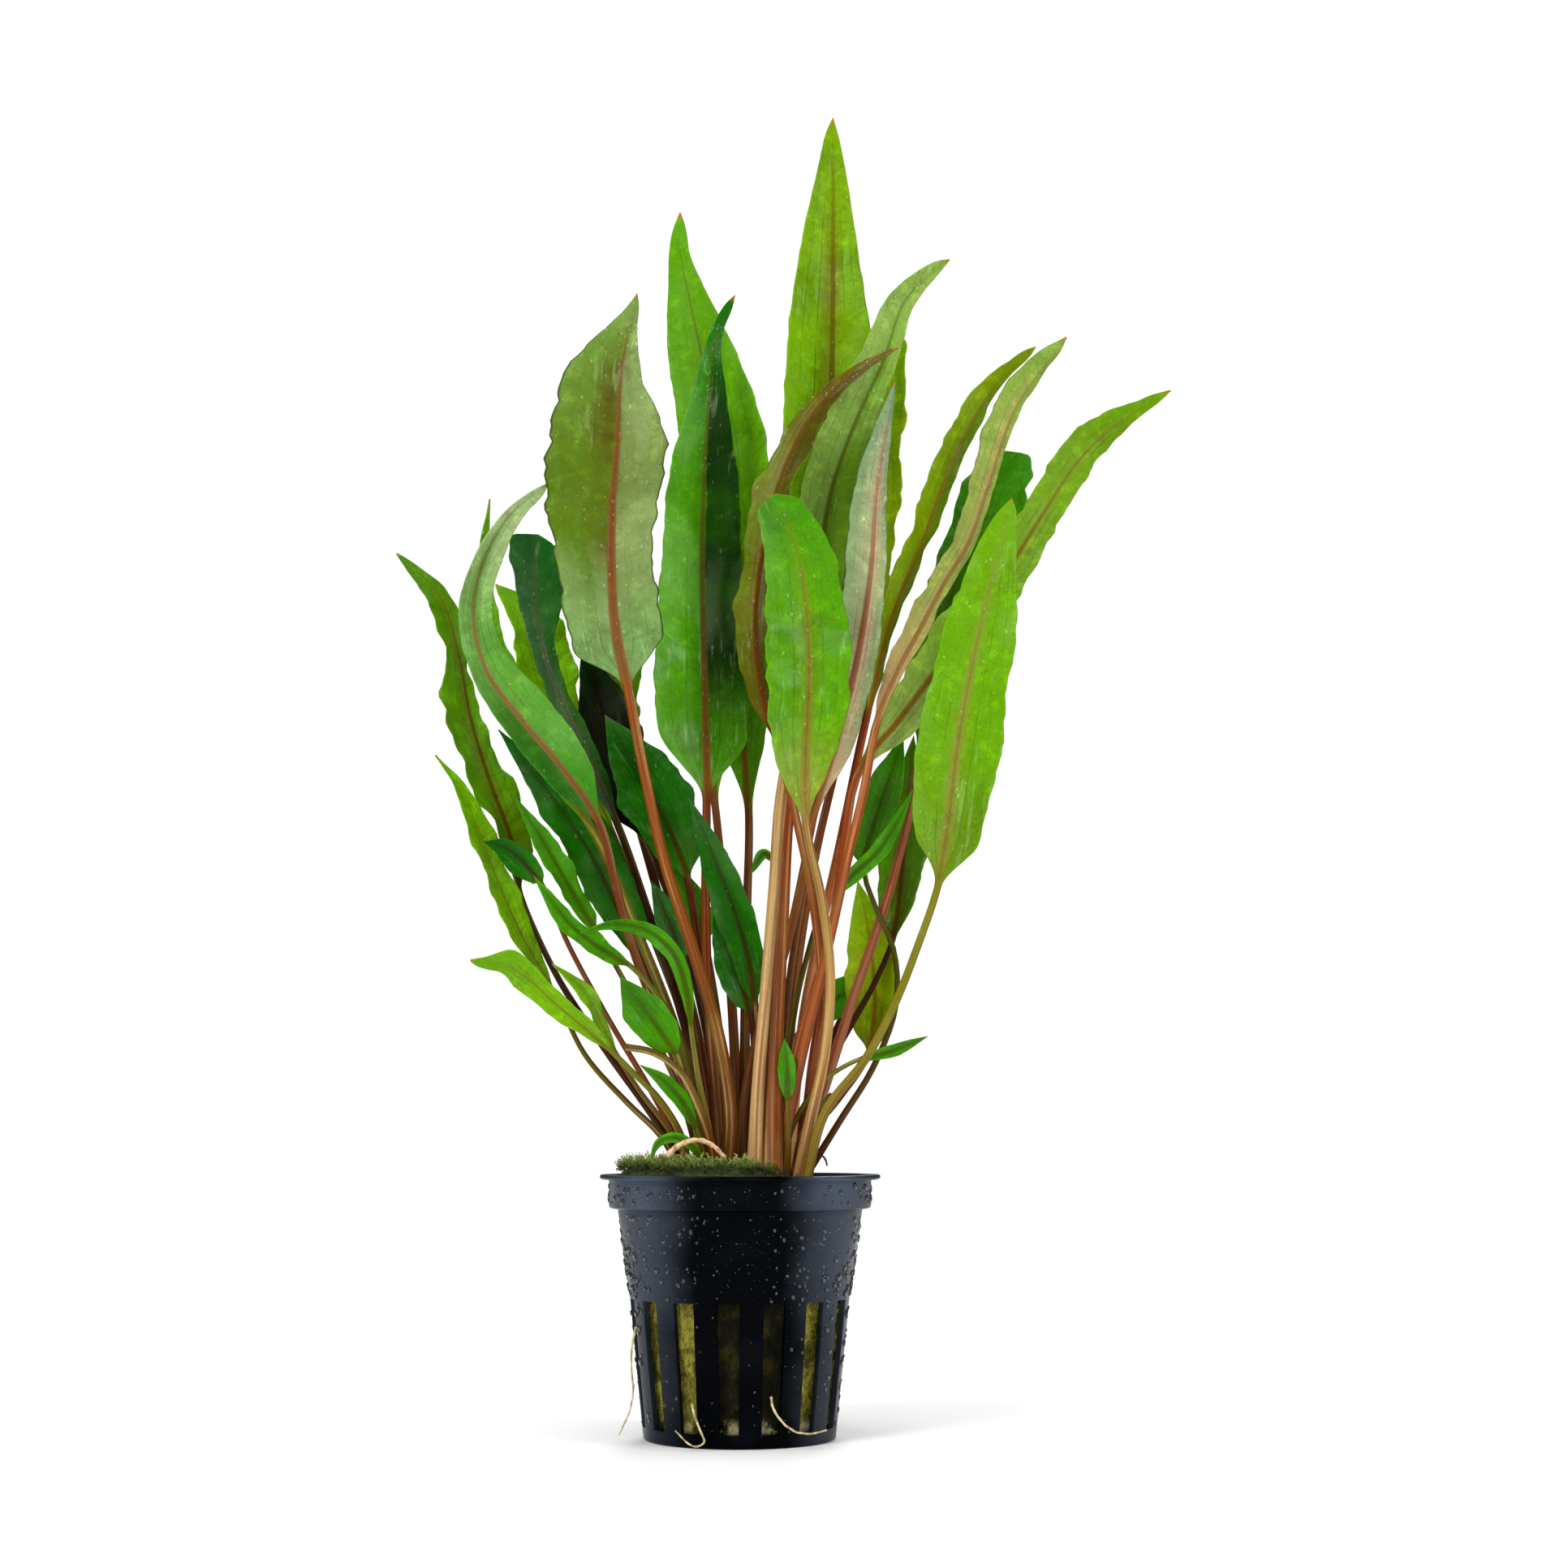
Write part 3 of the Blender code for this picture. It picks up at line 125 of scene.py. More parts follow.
LEAVES = (
    Leaf("tall_back_leaf", ((6.6, 50.6), (6.9, 75), (7.5, 88), (8.5, 105), (9.5, 122)),
         ((11.5, 140), (15, 165), (17.5, 190), (18.3, 215), (18.5, 240), (18.5, 260.3)),
         (-8, -8, 14), 17.8, 0.52, (28, 14), rib=(0.54, 0.58), stem=(3.8, 2.0)),
    Leaf("second_tall_leaf", ((1, 50.6), (1.2, 80), (1.6, 105)),
         ((2, 122), (0.5, 145), (-1, 165), (-2.2, 185), (-4, 199), (-6.8, 212), (-9.6, 224.6), (-11.4, 234),
          (-11.5, 241.8)),
         (5, 14, 24), 18.5, 0.5, (-34, -12), round=(0.5, 0.8)),
    Leaf("centre_dark_leaf", ((-3.5, 50.6), (-4.6, 70), (-6, 88), (-6.5, 108)),
         ((-6.3, 125.5), (-6.8, 150), (-7.2, 180), (-6, 203), (-4, 219), (-0.8, 225.5)),
         (-1, 2, 9), 19.5, 0.34, (22, 8), 12, (0.52, 0.5), round=(0.38, 1.0)),
    Leaf("left_broad_leaf", ((-2.4, 50.6), (-1.6, 64), (-4, 80), (-9, 97), (-14.5, 114), (-18.8, 133)),
         ((-21.6, 147.5), (-24.2, 160), (-25, 172), (-24.8, 185), (-23.8, 197), (-23.2, 209), (-20, 225.8)),
         (-7, -24, -24), 24, 0.52, (172, 188), 12, (0.44, 0.7), (2.6, 1.8),
         (0.5, 0.9)),
    Leaf("left_arching_leaf", ((-6, 50.6), (-9, 66), (-15, 82), (-21, 98), (-24.5, 111)),
         ((-27, 121), (-35, 133), (-43, 142.5), (-49.5, 151.5), (-52.2, 162), (-50, 174), (-45, 182.5),
          (-37.5, 188.5)),
         (-4, -12, -13), 10.5, 0.35, (-8, 40), 16),
    Leaf("left_twin_leaf", ((-5, 50.6), (-12, 80), (-21, 103)),
         ((-28, 119), (-38, 135), (-46, 150), (-50, 162), (-50.3, 174), (-48.9, 185.5)),
         (0, -4, -4), 6, 0.45, (35, 40)),
    Leaf("far_left_olive_leaf", ((-8.5, 50.6), (-16, 63), (-26, 77), (-35, 90.5), (-40, 100.5)),
         ((-42.8, 107.5), (-44.8, 118), (-49.3, 130.5), (-53, 143), (-55.2, 155), (-59, 166.5), (-67.2, 174.8)),
         (2, 8, 14), 11, 0.42, (48, 40), stem=(1.7, 1.2), round=(0.5, 0.8)),
    Leaf("thin_lime_leaf", ((-10.2, 50.6), (-15, 60), (-22, 67), (-30, 76)),
         ((-36, 88), (-42, 98), (-47, 109), (-51.5, 121), (-55, 129), (-59.6, 135.2)),
         (-2, -2, 2), 5.2, 0.5, (50, 40), stem=(1.3, 0.9)),
    Leaf("low_lime_leaf", ((-9.2, 50.6), (-11.6, 61), (-16, 68), (-21, 73)),
         ((-25, 77), (-30, 81.5), (-36, 86.5), (-41, 91), (-46, 94), (-52.7, 94.8)),
         (-5, -18, -26), 7.6, 0.45, (-30, -42), stem=(1.4, 1.0)),
    Leaf("thin_wavy_leaf", ((-7, 50.6), (-14, 62), (-20, 70)),
         ((-24, 76.5), (-27, 82), (-30, 88), (-36.7, 94.2)),
         (-4, -8, -10), 2.8, 0.45, (30, 50), stem=(1.2, 0.8)),
    Leaf("small_dark_leaf", ((-7.5, 50.6), (-16, 67), (-26, 84), (-34, 99)),
         ((-38.5, 109.5), (-42, 114), (-46, 117.2), (-50.2, 118.2)),
         (-3, -9, -14), 5.5, 0.45, (-35, -30), stem=(1.2, 0.9)),
    Leaf("narrow_wavy_leaf", ((-6, 50.6), (-9, 70), (-14, 85)),
         ((-21, 93.5), (-28, 98), (-33, 102), (-37, 107), (-40.3, 111.5)),
         (-5, -11, -13), 4.2, 0.45, (-45, -10), stem=(1.3, 1.0)),
    Leaf("light_wavy_leaf", ((-6.5, 50.6), (-12, 70), (-21, 88)),
         ((-27.5, 99.5), (-31, 105), (-35, 112), (-39, 119), (-44.2, 127.2)),
         (0, -3, -3), 5, 0.45, (45, 10), stem=(1.4, 1.0)),
    Leaf("dark_folded_leaf", ((-4.5, 50.6), (-10, 80), (-18, 105)),
         ((-24, 122), (-29, 133), (-34.5, 145), (-38.5, 156), (-40, 166), (-39.5, 178.5)),
         (5, 8, 14), 13, 0.8, (40, 25), 20, round=(1.5, 0.45)),
    Leaf("hidden_lime_leaf", ((-3, 50.6), (-9, 78), (-19, 105)),
         ((-25, 120), (-31, 134), (-37, 148), (-41, 159), (-47.7, 168.7)),
         (8, 20, 28), 12, 0.55, (42, 36)),
    Leaf("large_dark_leaf", ((-5.5, 50.6), (-9, 72), (-14, 85)),
         ((-18.5, 93.5), (-24, 105), (-30, 117), (-38, 128.5), (-47.2, 140.2)),
         (2, 2, 4), 10.5, 0.4, (40, 28)),
    Leaf("centre_left_leaf", ((-3, 50.6), (-5.5, 80), (-8, 98)),
         ((-10, 110.5), (-14, 121), (-19, 131), (-26.3, 143)),
         (2, 5, 8), 14.5, 0.45, (32, 18), 16, (0.55, 0.52)),
    Leaf("black_green_leaf", ((-2, 50.6), (-6, 80), (-12, 103)),
         ((-18, 118), (-24, 130), (-26.5, 142), (-30.5, 157.5)),
         (7, 12, 16), 13, 0.5, (38, 25)),
    Leaf("front_dark_leaf", ((5, 50.6), (4.6, 64), (4.2, 76)),
         ((3.4, 85), (1.6, 97), (-1.3, 106), (-5.2, 116), (-9.8, 126.8)),
         (-1, -2, -14), 7.8, 0.45, (-30, 0), 15, stem=(1.7, 1.2)),
    Leaf("inner_bright_leaf", ((-1, 50.6), (-3, 75), (-5, 90)),
         ((-6.5, 98), (-9.5, 106), (-13.3, 113.5)),
         (3, 5, 8), 7, 0.45, (30, 10), stem=(1.6, 1.1)),
    Leaf("inner_dark_leaf", ((2, 50.6), (2.8, 66), (3, 76)),
         ((2.4, 84), (-0.5, 93), (-5, 104)),
         (2, 1, 0), 7.5, 0.45, (-25, 0), stem=(1.6, 1.1)),
    Leaf("slim_dark_leaf", ((-4, 50.6), (-7, 74), (-9.5, 87)),
         ((-11, 94), (-13.5, 101.5), (-17.2, 110.5)),
         (0, 0, 0), 5.5, 0.45, (40, 20), stem=(1.4, 1.0)),
    Leaf("bent_leaf", ((-4, 50.6), (-6, 62), (-8, 72)),
         ((-9.3, 81), (-10.3, 89), (-13, 96.5), (-18, 100.8), (-24.5, 102), (-31.3, 100.2)),
         (-6, -13, -17), 3.6, 0.5, (10, -35), 20, stem=(1.4, 1.0)),
    Leaf("small_round_leaf", ((-4.4, 50.6), (-7.6, 62), (-10.5, 71)),
         ((-12, 76), (-15, 80.5), (-19, 86), (-23.3, 91.5)),
         (-8, -15, -19), 8, 0.5, (-20, -30), 10, stem=(1.3, 0.9)),
    Leaf("small_narrow_leaf", ((-6.3, 50.6), (-7.2, 57)),
         ((-8.5, 61.5), (-11, 67), (-15, 71.5), (-19.3, 74.2)),
         (-7, -12, -17), 3.4, 0.5, (20, -30), stem=(1.3, 0.9)),
    Leaf("rim_leaf", ((-8.5, 50.6),),
         ((-7.4, 55), (-9.5, 58.6), (-13, 60), (-15.6, 59), (-17.4, 55.6)),
         (-5.5, -11.5, -14), 2.2, 0.5, (0, 20), stem=(1.1, 0.8)),
    Leaf("front_bright_leaf", ((11.5, 50.6), (13.8, 62), (17, 77), (18, 92), (16.3, 107)),
         ((13.3, 121), (13, 135), (13.7, 150), (13.2, 164), (11.2, 176), (7.2, 186.5)),
         (-8, -26, -31), 16.5, 0.5, (24, 20), 12, stem=(2.2, 1.5), round=(0.6, 0.42)),
    Leaf("brown_twisted_leaf", ((12.3, 50.6), (14.3, 72), (16.2, 88), (14.4, 108), (11, 124)),
         ((8, 136), (4.6, 149), (3.6, 161), (5, 175), (9, 191), (16, 204), (23, 210.5), (31.2, 215.3)),
         (-6, -18, -14), 8, 0.5, (-55, -40), 20, stem=(2.2, 1.5), round=(0.45, 0.8)),
    Leaf("pale_grey_leaf", ((3.0, 50.6), (3.7, 68), (5.3, 88), (7, 110), (8.2, 127)),
         ((11, 142), (15, 165), (18.5, 188), (23.5, 202), (28.5, 213), (33, 225), (41.4, 232.6)),
         (-9, -13.5, 2), 14, 0.5, (-34, 20), rib=(0.55, 0.6), stem=(2.6, 1.8), round=(0.6, 0.8)),
    Leaf("yellow_back_leaf", ((9, 50.6), (10.5, 85), (15, 115)),
         ((20, 137), (24, 160), (26.8, 182), (27.6, 202), (31, 218.3)),
         (3, 14, 24), 13, 0.6, (-38, -28), round=(0.6, 0.5)),
    Leaf("pink_under_leaf", ((0.4, 50.6), (1, 66), (4, 81), (9.5, 98), (13, 114)),
         ((14.6, 122.5), (19.5, 139), (23.3, 154), (25.8, 170), (27.2, 188), (30.6, 208.5)),
         (4, -8, -14), 10, 0.45, (146, 205), 12, stem=(2.2, 1.5)),
    Leaf("olive_ribbon_leaf", ((9.5, 50.6), (13, 85), (20, 118)),
         ((25, 142), (30.5, 164), (35.5, 176), (40, 188), (44.5, 198.5), (50, 207.5), (58.3, 215.4)),
         (0, -4, 4), 7.5, 0.5, (50, 15)),
    Leaf("tan_wavy_leaf", ((7.5, 50.6), (11.5, 72), (17, 95), (21.5, 115), (24.8, 129)),
         ((26.8, 140), (31.5, 152), (36.3, 161), (40.3, 168.7), (45.2, 177), (49, 188), (54.6, 204),
          (64.3, 217.3)),
         (-6, -22, -20), 8, 0.45, (136, 215), 14),
    Leaf("deep_right_leaf", ((10, 50.6), (15.5, 66), (22, 86), (30, 110), (33.8, 125)),
         ((35.5, 136), (38, 152), (42.5, 168), (47, 183), (51.5, 195)),
         (2, 8, 16), 14, 0.7, (-38, -38), 18, round=(0.6, 0.5)),
    Leaf("far_right_leaf", ((6.5, 50.6), (11.5, 77), (18.5, 102), (21, 120)),
         ((23, 130.5), (32, 142.5), (42, 156), (52, 170), (60, 183), (68, 194.5), (76, 201.5), (84.8, 206.8)),
         (-1, -16, 0), 12.5, 0.45, (-32, 30), round=(0.6, 0.9)),
    Leaf("right_lime_leaf", ((13, 50.6), (17, 65), (25, 75.5), (31, 87), (35.5, 98.5)),
         ((38.9, 108.5), (41, 119.5), (43, 136), (46.4, 155), (49.4, 168), (51.6, 177), (53.7, 185.5)),
         (-9, -30, -33), 16.2, 0.45, (-28, -18), 12, (0.5, 0.48), (1.8, 1.3), (0.5, 0.9)),
    Leaf("right_olive_leaf", ((11, 50.6), (16, 71), (22, 82), (27, 91)),
         ((30.2, 98.5), (32.2, 112), (33.2, 125), (34.4, 139)),
         (5, 12, 18), 10, 0.45, (-42, -20), stem=(1.5, 1.1)),
    Leaf("bowed_stalk_leaf", ((12, 50.6), (20, 63.5), (26.5, 74), (31, 87), (30.4, 97), (27, 105)),
         ((24.6, 112.5), (26.6, 121), (29.5, 130), (32.4, 139)),
         (0, 3, 4), 8, 0.45, (-40, -20), stem=(1.3, 1.0)),
    Leaf("orange_tip_leaf", ((9, 50.6), (13.5, 60), (20, 68)),
         ((25.3, 76), (26.8, 84), (26.6, 92), (25.5, 101), (23.4, 110.5)),
         (7, 11, 16), 11, 0.45, (-32, -10), stem=(1.4, 1.0)),
    Leaf("low_bright_leaf", ((6, 50.6), (8, 68)),
         ((12, 81), (17, 86), (22, 89), (28, 91.5)),
         (9, 14, 20), 7.5, 0.5, (20, 10), stem=(1.4, 1.0)),
    Leaf("thin_right_leaf", ((8, 50.6), (11, 63), (16.5, 71)),
         ((23.5, 75.3), (29, 76.8), (37.2, 79.9)),
         (-5, -12, -14), 2.4, 0.5, (30, 10), stem=(1.1, 0.8)),
    Leaf("slim_right_leaf", ((7, 50.6), (9.5, 75), (13, 94)),
         ((17, 105.5), (22, 111.5), (27, 116), (31, 122), (34.2, 128.4)),
         (1, 0, 2), 3.6, 0.5, (35, 20), stem=(1.3, 1.0)),
    Leaf("curl_leaf", ((5, 50.6), (6, 85), (7.2, 108)),
         ((7, 114), (5.2, 115.8), (2.4, 111.8)),
         (2, 4, 5), 2.2, 0.5, (0, 0), stem=(1.1, 0.7)),
    Leaf("tiny_inner_leaf", ((9.4, 50.6), (9.8, 60)),
         ((9.6, 67), (9.5, 73), (9, 79.5)),
         (-8, -12.5, -13), 3.6, 0.5, (0, 0), stem=(1.1, 0.8)),
    Leaf("back_leaf_centre", ((0, 50.6), (-1, 80), (-3, 108)),
         ((-4.5, 124), (-7, 142), (-8, 162), (-7, 180), (-4, 196)),
         (11, 38, 62), 14, 0.45, (-20, 20)),
    Leaf("back_leaf_left", ((-4, 50.6), (-8, 80), (-17, 112)),
         ((-23, 134), (-26.5, 154), (-27.5, 174), (-26, 192), (-23, 206)),
         (10, 30, 50), 14, 0.45, (50, 58)),
    Leaf("back_leaf_right", ((6, 50.6), (9, 82), (13, 112)),
         ((15, 128), (17, 145), (18, 162), (19, 180), (20.5, 196)),
         (11, 36, 58), 14, 0.45, (-52, -58)),
    Leaf("back_leaf_far_right", ((8, 50.6), (18, 78), (33, 108)),
         ((39.5, 124), (43, 138), (45, 152), (46, 164), (47, 175)),
         (9, 28, 46), 12, 0.45, (-50, -48)),
    Leaf("cut_stalk_left", ((-3.4, 50.6), (-7.4, 65), (-12, 73.5), (-17, 76.8), (-22.2, 77.8)), (),
         (-7, -16, -16), stem=(1.4, 1.3)),
    Leaf("cut_stalk_right", ((10.8, 50.6), (13.6, 62.5), (18.6, 68.4)), (),
         (-7, -10, -10), stem=(1.7, 1.6)),
)

# Half widths of the large blades as seen from the front, at these shares of the blade: left side, right side.
OUTLINE_AT = (0.0, 0.03, 0.1, 0.2, 0.35, 0.5, 0.65, 0.8, 0.92, 0.98, 1.0)
OUTLINES = {
    "tall_back_leaf": (
        (2.2, 4.4, 6.8, 8.8, 9.5, 8.8, 6.2, 3.0, 1.2),
        (2.2, 4.4, 6.8, 8.6, 9.0, 8.0, 5.0, 2.6, 0.9),
    ),
    "second_tall_leaf": (
        (2.0, 3.8, 5.8, 7.6, 8.6, 8.4, 6.6, 2.9, 1.2),
        (2.0, 3.8, 5.8, 8.0, 9.4, 9.1, 5.7, 2.1, 1.0),
    ),
    "centre_dark_leaf": (
        (5.2, 8.4, 10.0, 9.3, 7.9, 6.9, 3.4, 1.3, 0.8),
        (4.4, 7.9, 8.5, 8.4, 8.2, 7.0, 3.6, 1.2, 0.7),
    ),
    "left_broad_leaf": (
        (3.2, 7.6, 9.4, 10.8, 13.2, 13.2, 10.6, 3.6, 0.8),
        (5.4, 8.4, 9.0, 7.9, 8.9, 9.4, 4.3, 1.4, 0.7),
    ),
    "left_arching_leaf": (
        (1.9, 3.3, 4.1, 3.7, 2.9, 2.7, 1.5, 0.9, 0.5),
        (2.2, 4.2, 6.0, 6.5, 5.0, 3.6, 3.4, 2.0, 1.0),
    ),
    "front_bright_leaf": (
        (1.6, 3.2, 5.4, 7.6, 7.8, 7.7, 6.2, 5.0, 3.2),
        (1.5, 2.8, 5.1, 7.8, 7.9, 7.6, 6.6, 4.6, 2.6),
    ),
    "brown_twisted_leaf": (
        (1.1, 2.6, 4.0, 4.1, 4.3, 3.9, 2.0, 1.1, 0.4),
        (1.0, 1.8, 2.6, 2.9, 3.2, 3.5, 2.1, 0.9, 0.4),
    ),
    "pale_grey_leaf": (
        (1.8, 3.4, 4.8, 6.0, 6.2, 5.7, 4.3, 2.4, 1.2),
        (1.8, 3.2, 4.4, 5.2, 4.8, 3.6, 2.6, 1.8, 0.6),
    ),
    "yellow_back_leaf": (
        (1.4, 2.8, 4.2, 5.4, 5.8, 5.6, 4.6, 3.0, 1.8),
        (1.4, 2.8, 4.0, 4.4, 4.6, 5.2, 5.3, 3.3, 2.0),
    ),
    "pink_under_leaf": (
        (1.2, 2.6, 3.8, 4.6, 4.9, 5.2, 4.0, 1.8, 0.5),
        (1.2, 2.4, 3.5, 3.9, 3.3, 2.7, 1.7, 0.9, 0.4),
    ),
    "olive_ribbon_leaf": (
        (1.0, 1.8, 2.4, 2.8, 3.2, 3.4, 3.0, 1.6, 0.8),
        (0.8, 1.2, 1.4, 1.5, 1.8, 2.0, 1.7, 0.9, 0.6),
    ),
    "tan_wavy_leaf": (
        (1.4, 2.3, 3.0, 3.0, 3.2, 3.8, 4.1, 2.7, 0.9),
        (0.7, 0.9, 1.4, 1.5, 1.3, 1.2, 1.2, 1.0, 0.7),
    ),
    "deep_right_leaf": (
        (1.4, 2.8, 3.9, 4.8, 5.2, 5.2, 4.8, 4.0, 2.2),
        (1.5, 3.0, 4.6, 6.4, 7.6, 8.3, 8.5, 7.2, 4.2),
    ),
    "far_right_leaf": (
        (1.5, 3.0, 4.6, 5.6, 5.2, 3.9, 4.6, 1.8, 0.7),
        (1.5, 3.0, 4.6, 5.4, 4.4, 3.7, 3.0, 1.5, 0.7),
    ),
    "right_lime_leaf": (
        (2.5, 5.0, 7.2, 7.8, 7.4, 6.7, 5.2, 3.2, 1.2),
        (3.0, 5.2, 6.6, 8.0, 7.3, 6.8, 4.4, 2.2, 1.0),
    ),
    "far_left_olive_leaf": (
        (0.9, 1.8, 2.4, 3.6, 5.0, 2.8, 2.6, 1.6, 0.5),
        (1.8, 3.9, 4.4, 4.1, 2.2, 1.9, 2.6, 1.2, 0.5),
    ),
    "dark_folded_leaf": (
        (1.0, 2.0, 2.6, 2.6, 2.3, 2.3, 4.0, 5.4, 4.0),
        (1.0, 2.0, 2.4, 2.4, 2.2, 2.8, 6.0, 4.8, 2.6),
    ),
    "hidden_lime_leaf": (
        (1.5, 3.0, 4.6, 5.6, 6.0, 5.2, 3.0, 1.2, 0.5),
        (1.5, 3.0, 4.0, 4.4, 4.8, 6.6, 7.2, 3.4, 1.0),
    ),
    "low_lime_leaf": (
        (0.6, 1.1, 1.7, 2.3, 2.5, 2.7, 1.9, 1.4, 0.6),
        (0.6, 1.1, 1.6, 2.0, 2.1, 2.4, 2.8, 0.9, 0.4),
    ),
}


def seen(x, z, depth):
    """The real places of points drawn at (x, z) in the front view and standing at y = depth."""
    across = np.asarray(x, float)[..., None] - VIEW_CENTRE[0]
    rise = np.asarray(z, float)[..., None] - VIEW_CENTRE[1]
    sight = FORWARD * VIEW_REACH + SIDEWAYS * across + UPWARD * rise
    return EYE + sight * ((np.asarray(depth, float) - EYE[1]) / sight[..., 1])[..., None]


def drawn(places):
    """Where real places fall in the front view."""
    sight = places - EYE
    reach = VIEW_REACH / (sight @ FORWARD)
    return VIEW_CENTRE[0] + (sight @ SIDEWAYS) * reach, VIEW_CENTRE[1] + (sight @ UPWARD) * reach


def smooth_curve(knots, values, at):
    """A smooth curve through values at knots, read at the given places."""
    slopes = np.gradient(values, knots)
    index = np.clip(np.searchsorted(knots, at, side="right") - 1, 0, len(knots) - 2)
    span = knots[index + 1] - knots[index]
    t = (at - knots[index]) / span
    start = (1 + 2 * t) * (1 - t) ** 2 * values[index] + t * (1 - t) ** 2 * span * slopes[index]
    end = t * t * (3 - 2 * t) * values[index + 1] + t * t * (t - 1) * span * slopes[index + 1]
    return start + end


class Route:
    """The drawn route of a leaf, read by the share of its length, and where its blade starts."""

    def __init__(self, leaf):
        points = np.array(leaf.stalk + leaf.blade, float)
        lengths = np.concatenate(([0.0], np.cumsum(np.hypot(*np.diff(points, axis=0).T))))
        self.knots = lengths / lengths[-1]
        self.points = points
        self.base = self.knots[len(leaf.stalk)] if leaf.blade else 1.0
        self.depth_knots = np.array((0.0, self.base if leaf.blade else 0.5, 1.0))
        self.depths = np.array(leaf.depth, float)

    def places(self, at, offset):
        """Real places along the route, moved in depth by offset."""
        x = smooth_curve(self.knots, self.points[:, 0], at)
        z = smooth_curve(self.knots, self.points[:, 1], at)
        depth = smooth_curve(self.depth_knots, self.depths, at) + offset
        return seen(x, z, depth)


def ring_stations(leaf, route):
    """The shares of the route at which the leaf solid has a ring."""
    stalk = np.linspace(0.0, route.base, STALK_RINGS)
    if not leaf.blade:
        return stalk
    blade = np.array((0.05, 0.13, 0.24, 0.36, 0.48, 0.60, 0.72, 0.83, 0.92, 0.97, 1.0))
    return np.concatenate((stalk, route.base + (1 - route.base) * blade))


def unit(vectors):
    return vectors / np.linalg.norm(vectors, axis=-1, keepdims=True)


def blade_share(leaf, along):
    """Half width of the blade as a share of its largest, from its base (0) to its tip (1)."""
    lower = np.sin(0.5 * math.pi * np.clip(along / leaf.widest, 0, 1)) ** leaf.round[0]
    upper = np.cos(0.5 * math.pi * np.clip((along - leaf.widest) / (1 - leaf.widest), 0, 1)) ** leaf.round[1]
    return np.where(along < leaf.widest, lower, upper)


def leaf_frames(leaf, route, at, offset):
    """Centres, side directions and upper-face directions of a leaf at shares of its route."""
    centre = route.places(at, offset)
    tangent = unit(np.gradient(centre, at, axis=0))
    side = unit(np.cross(centre - EYE, tangent))
    front = np.cross(side, tangent)
    along = np.clip((at - route.base) / max(1 - route.base, 1e-6), 0, 1)
    turn = np.radians(leaf.turn[0] + (leaf.turn[1] - leaf.turn[0]) * along)
    c, s = np.cos(turn)[:, None], np.sin(turn)[:, None]
    return centre, side * c - front * s, front * c + side * s, along, turn


def blade_reach(leaf, along, turn):
    """How far the blade goes from its midrib towards its two sides."""
    if leaf.name not in OUTLINES:
        facing = np.cos(turn)
        half = 0.5 * leaf.width / np.maximum(np.abs(facing), 0.6) * blade_share(leaf, along)
        rib_place = leaf.rib[0] + (leaf.rib[1] - leaf.rib[0]) * along
        first = 2 * np.where(facing > 0, rib_place, 1 - rib_place)
        return half * first, half * (2 - first)
    knots = np.array(OUTLINE_AT)
    left, right = (smooth_curve(knots, np.array((0.0, *widths, 0.1)), along) for widths in OUTLINES[leaf.name])
    fold = math.radians(leaf.fold)
    reaches = []
    for sign in (-1, 1):
        shown = np.abs(sign * math.cos(fold) * np.cos(turn) + math.sin(fold) * np.sin(turn))
        wanted = np.where(sign * np.cos(turn) > 0, right, left)
        reaches.append(wanted / np.maximum(shown, LEAST_SHOWN))
    return reaches


def leaf_rings(leaf, route, at, offset):
    """Six-sided rings of a leaf solid: a round stalk that opens into a thin folded blade."""
    centre, side, upper, along, turn = leaf_frames(leaf, route, at, offset)
    stalk = 0.5 * (leaf.stem[0] + (leaf.stem[1] - leaf.stem[0]) * np.clip(at / route.base, 0, 1))
    stalk = stalk * (1 - 0.75 * along)
    spread = np.clip(along / 0.13, 0, 1)
    fold = math.radians(leaf.fold)
    edge = 0.45 * stalk + (0.5 * EDGE_THICK - 0.45 * stalk) * spread
    rib = 0.85 * stalk
    rib = rib + (0.5 * (RIB_THICK + (TIP_THICK - RIB_THICK) * along) - rib) * spread
    rings = []
    for sign, width in zip((-1, 1), blade_reach(leaf, along, turn)):
        reach = np.maximum(width, 0.87 * stalk)
        place = centre + side * (sign * reach * math.cos(fold))[:, None]
        lift = np.where(width > 0.87 * stalk, reach * math.sin(fold), 0.0)
        place = place + upper * (lift * spread)[:, None]
        rings.append((place + upper * edge[:, None], place - upper * edge[:, None]))
    crest = centre + upper * rib[:, None]
    keel = centre - upper * rib[:, None]
    (left_top, left_low), (right_top, right_low) = rings
    return np.stack((left_top, crest, right_top, right_low, keel, left_low), axis=1)


def surface_samples(rings):
    """Points spread closely over a leaf's rings, with the ring position of each."""
    count = len(rings)
    closed = np.concatenate((rings, rings[:, :1]), axis=1)
    steps = (8, 8, 1, 8, 8, 1)
    strips = [closed[:, k:k + 1] + (closed[:, k + 1:k + 2] - closed[:, k:k + 1])
              * (np.arange(steps[k]) / steps[k])[None, :, None] for k in range(6)]
    around = np.concatenate(strips, axis=1)
    place = np.linspace(0, count - 1, (count - 1) * 12 + 1)
    low = np.minimum(place.astype(int), count - 2)
    share = (place - low)[:, None, None]
    points = around[low] * (1 - share) + around[low + 1] * share
    return points.reshape(-1, 3), np.repeat(place, around.shape[1])


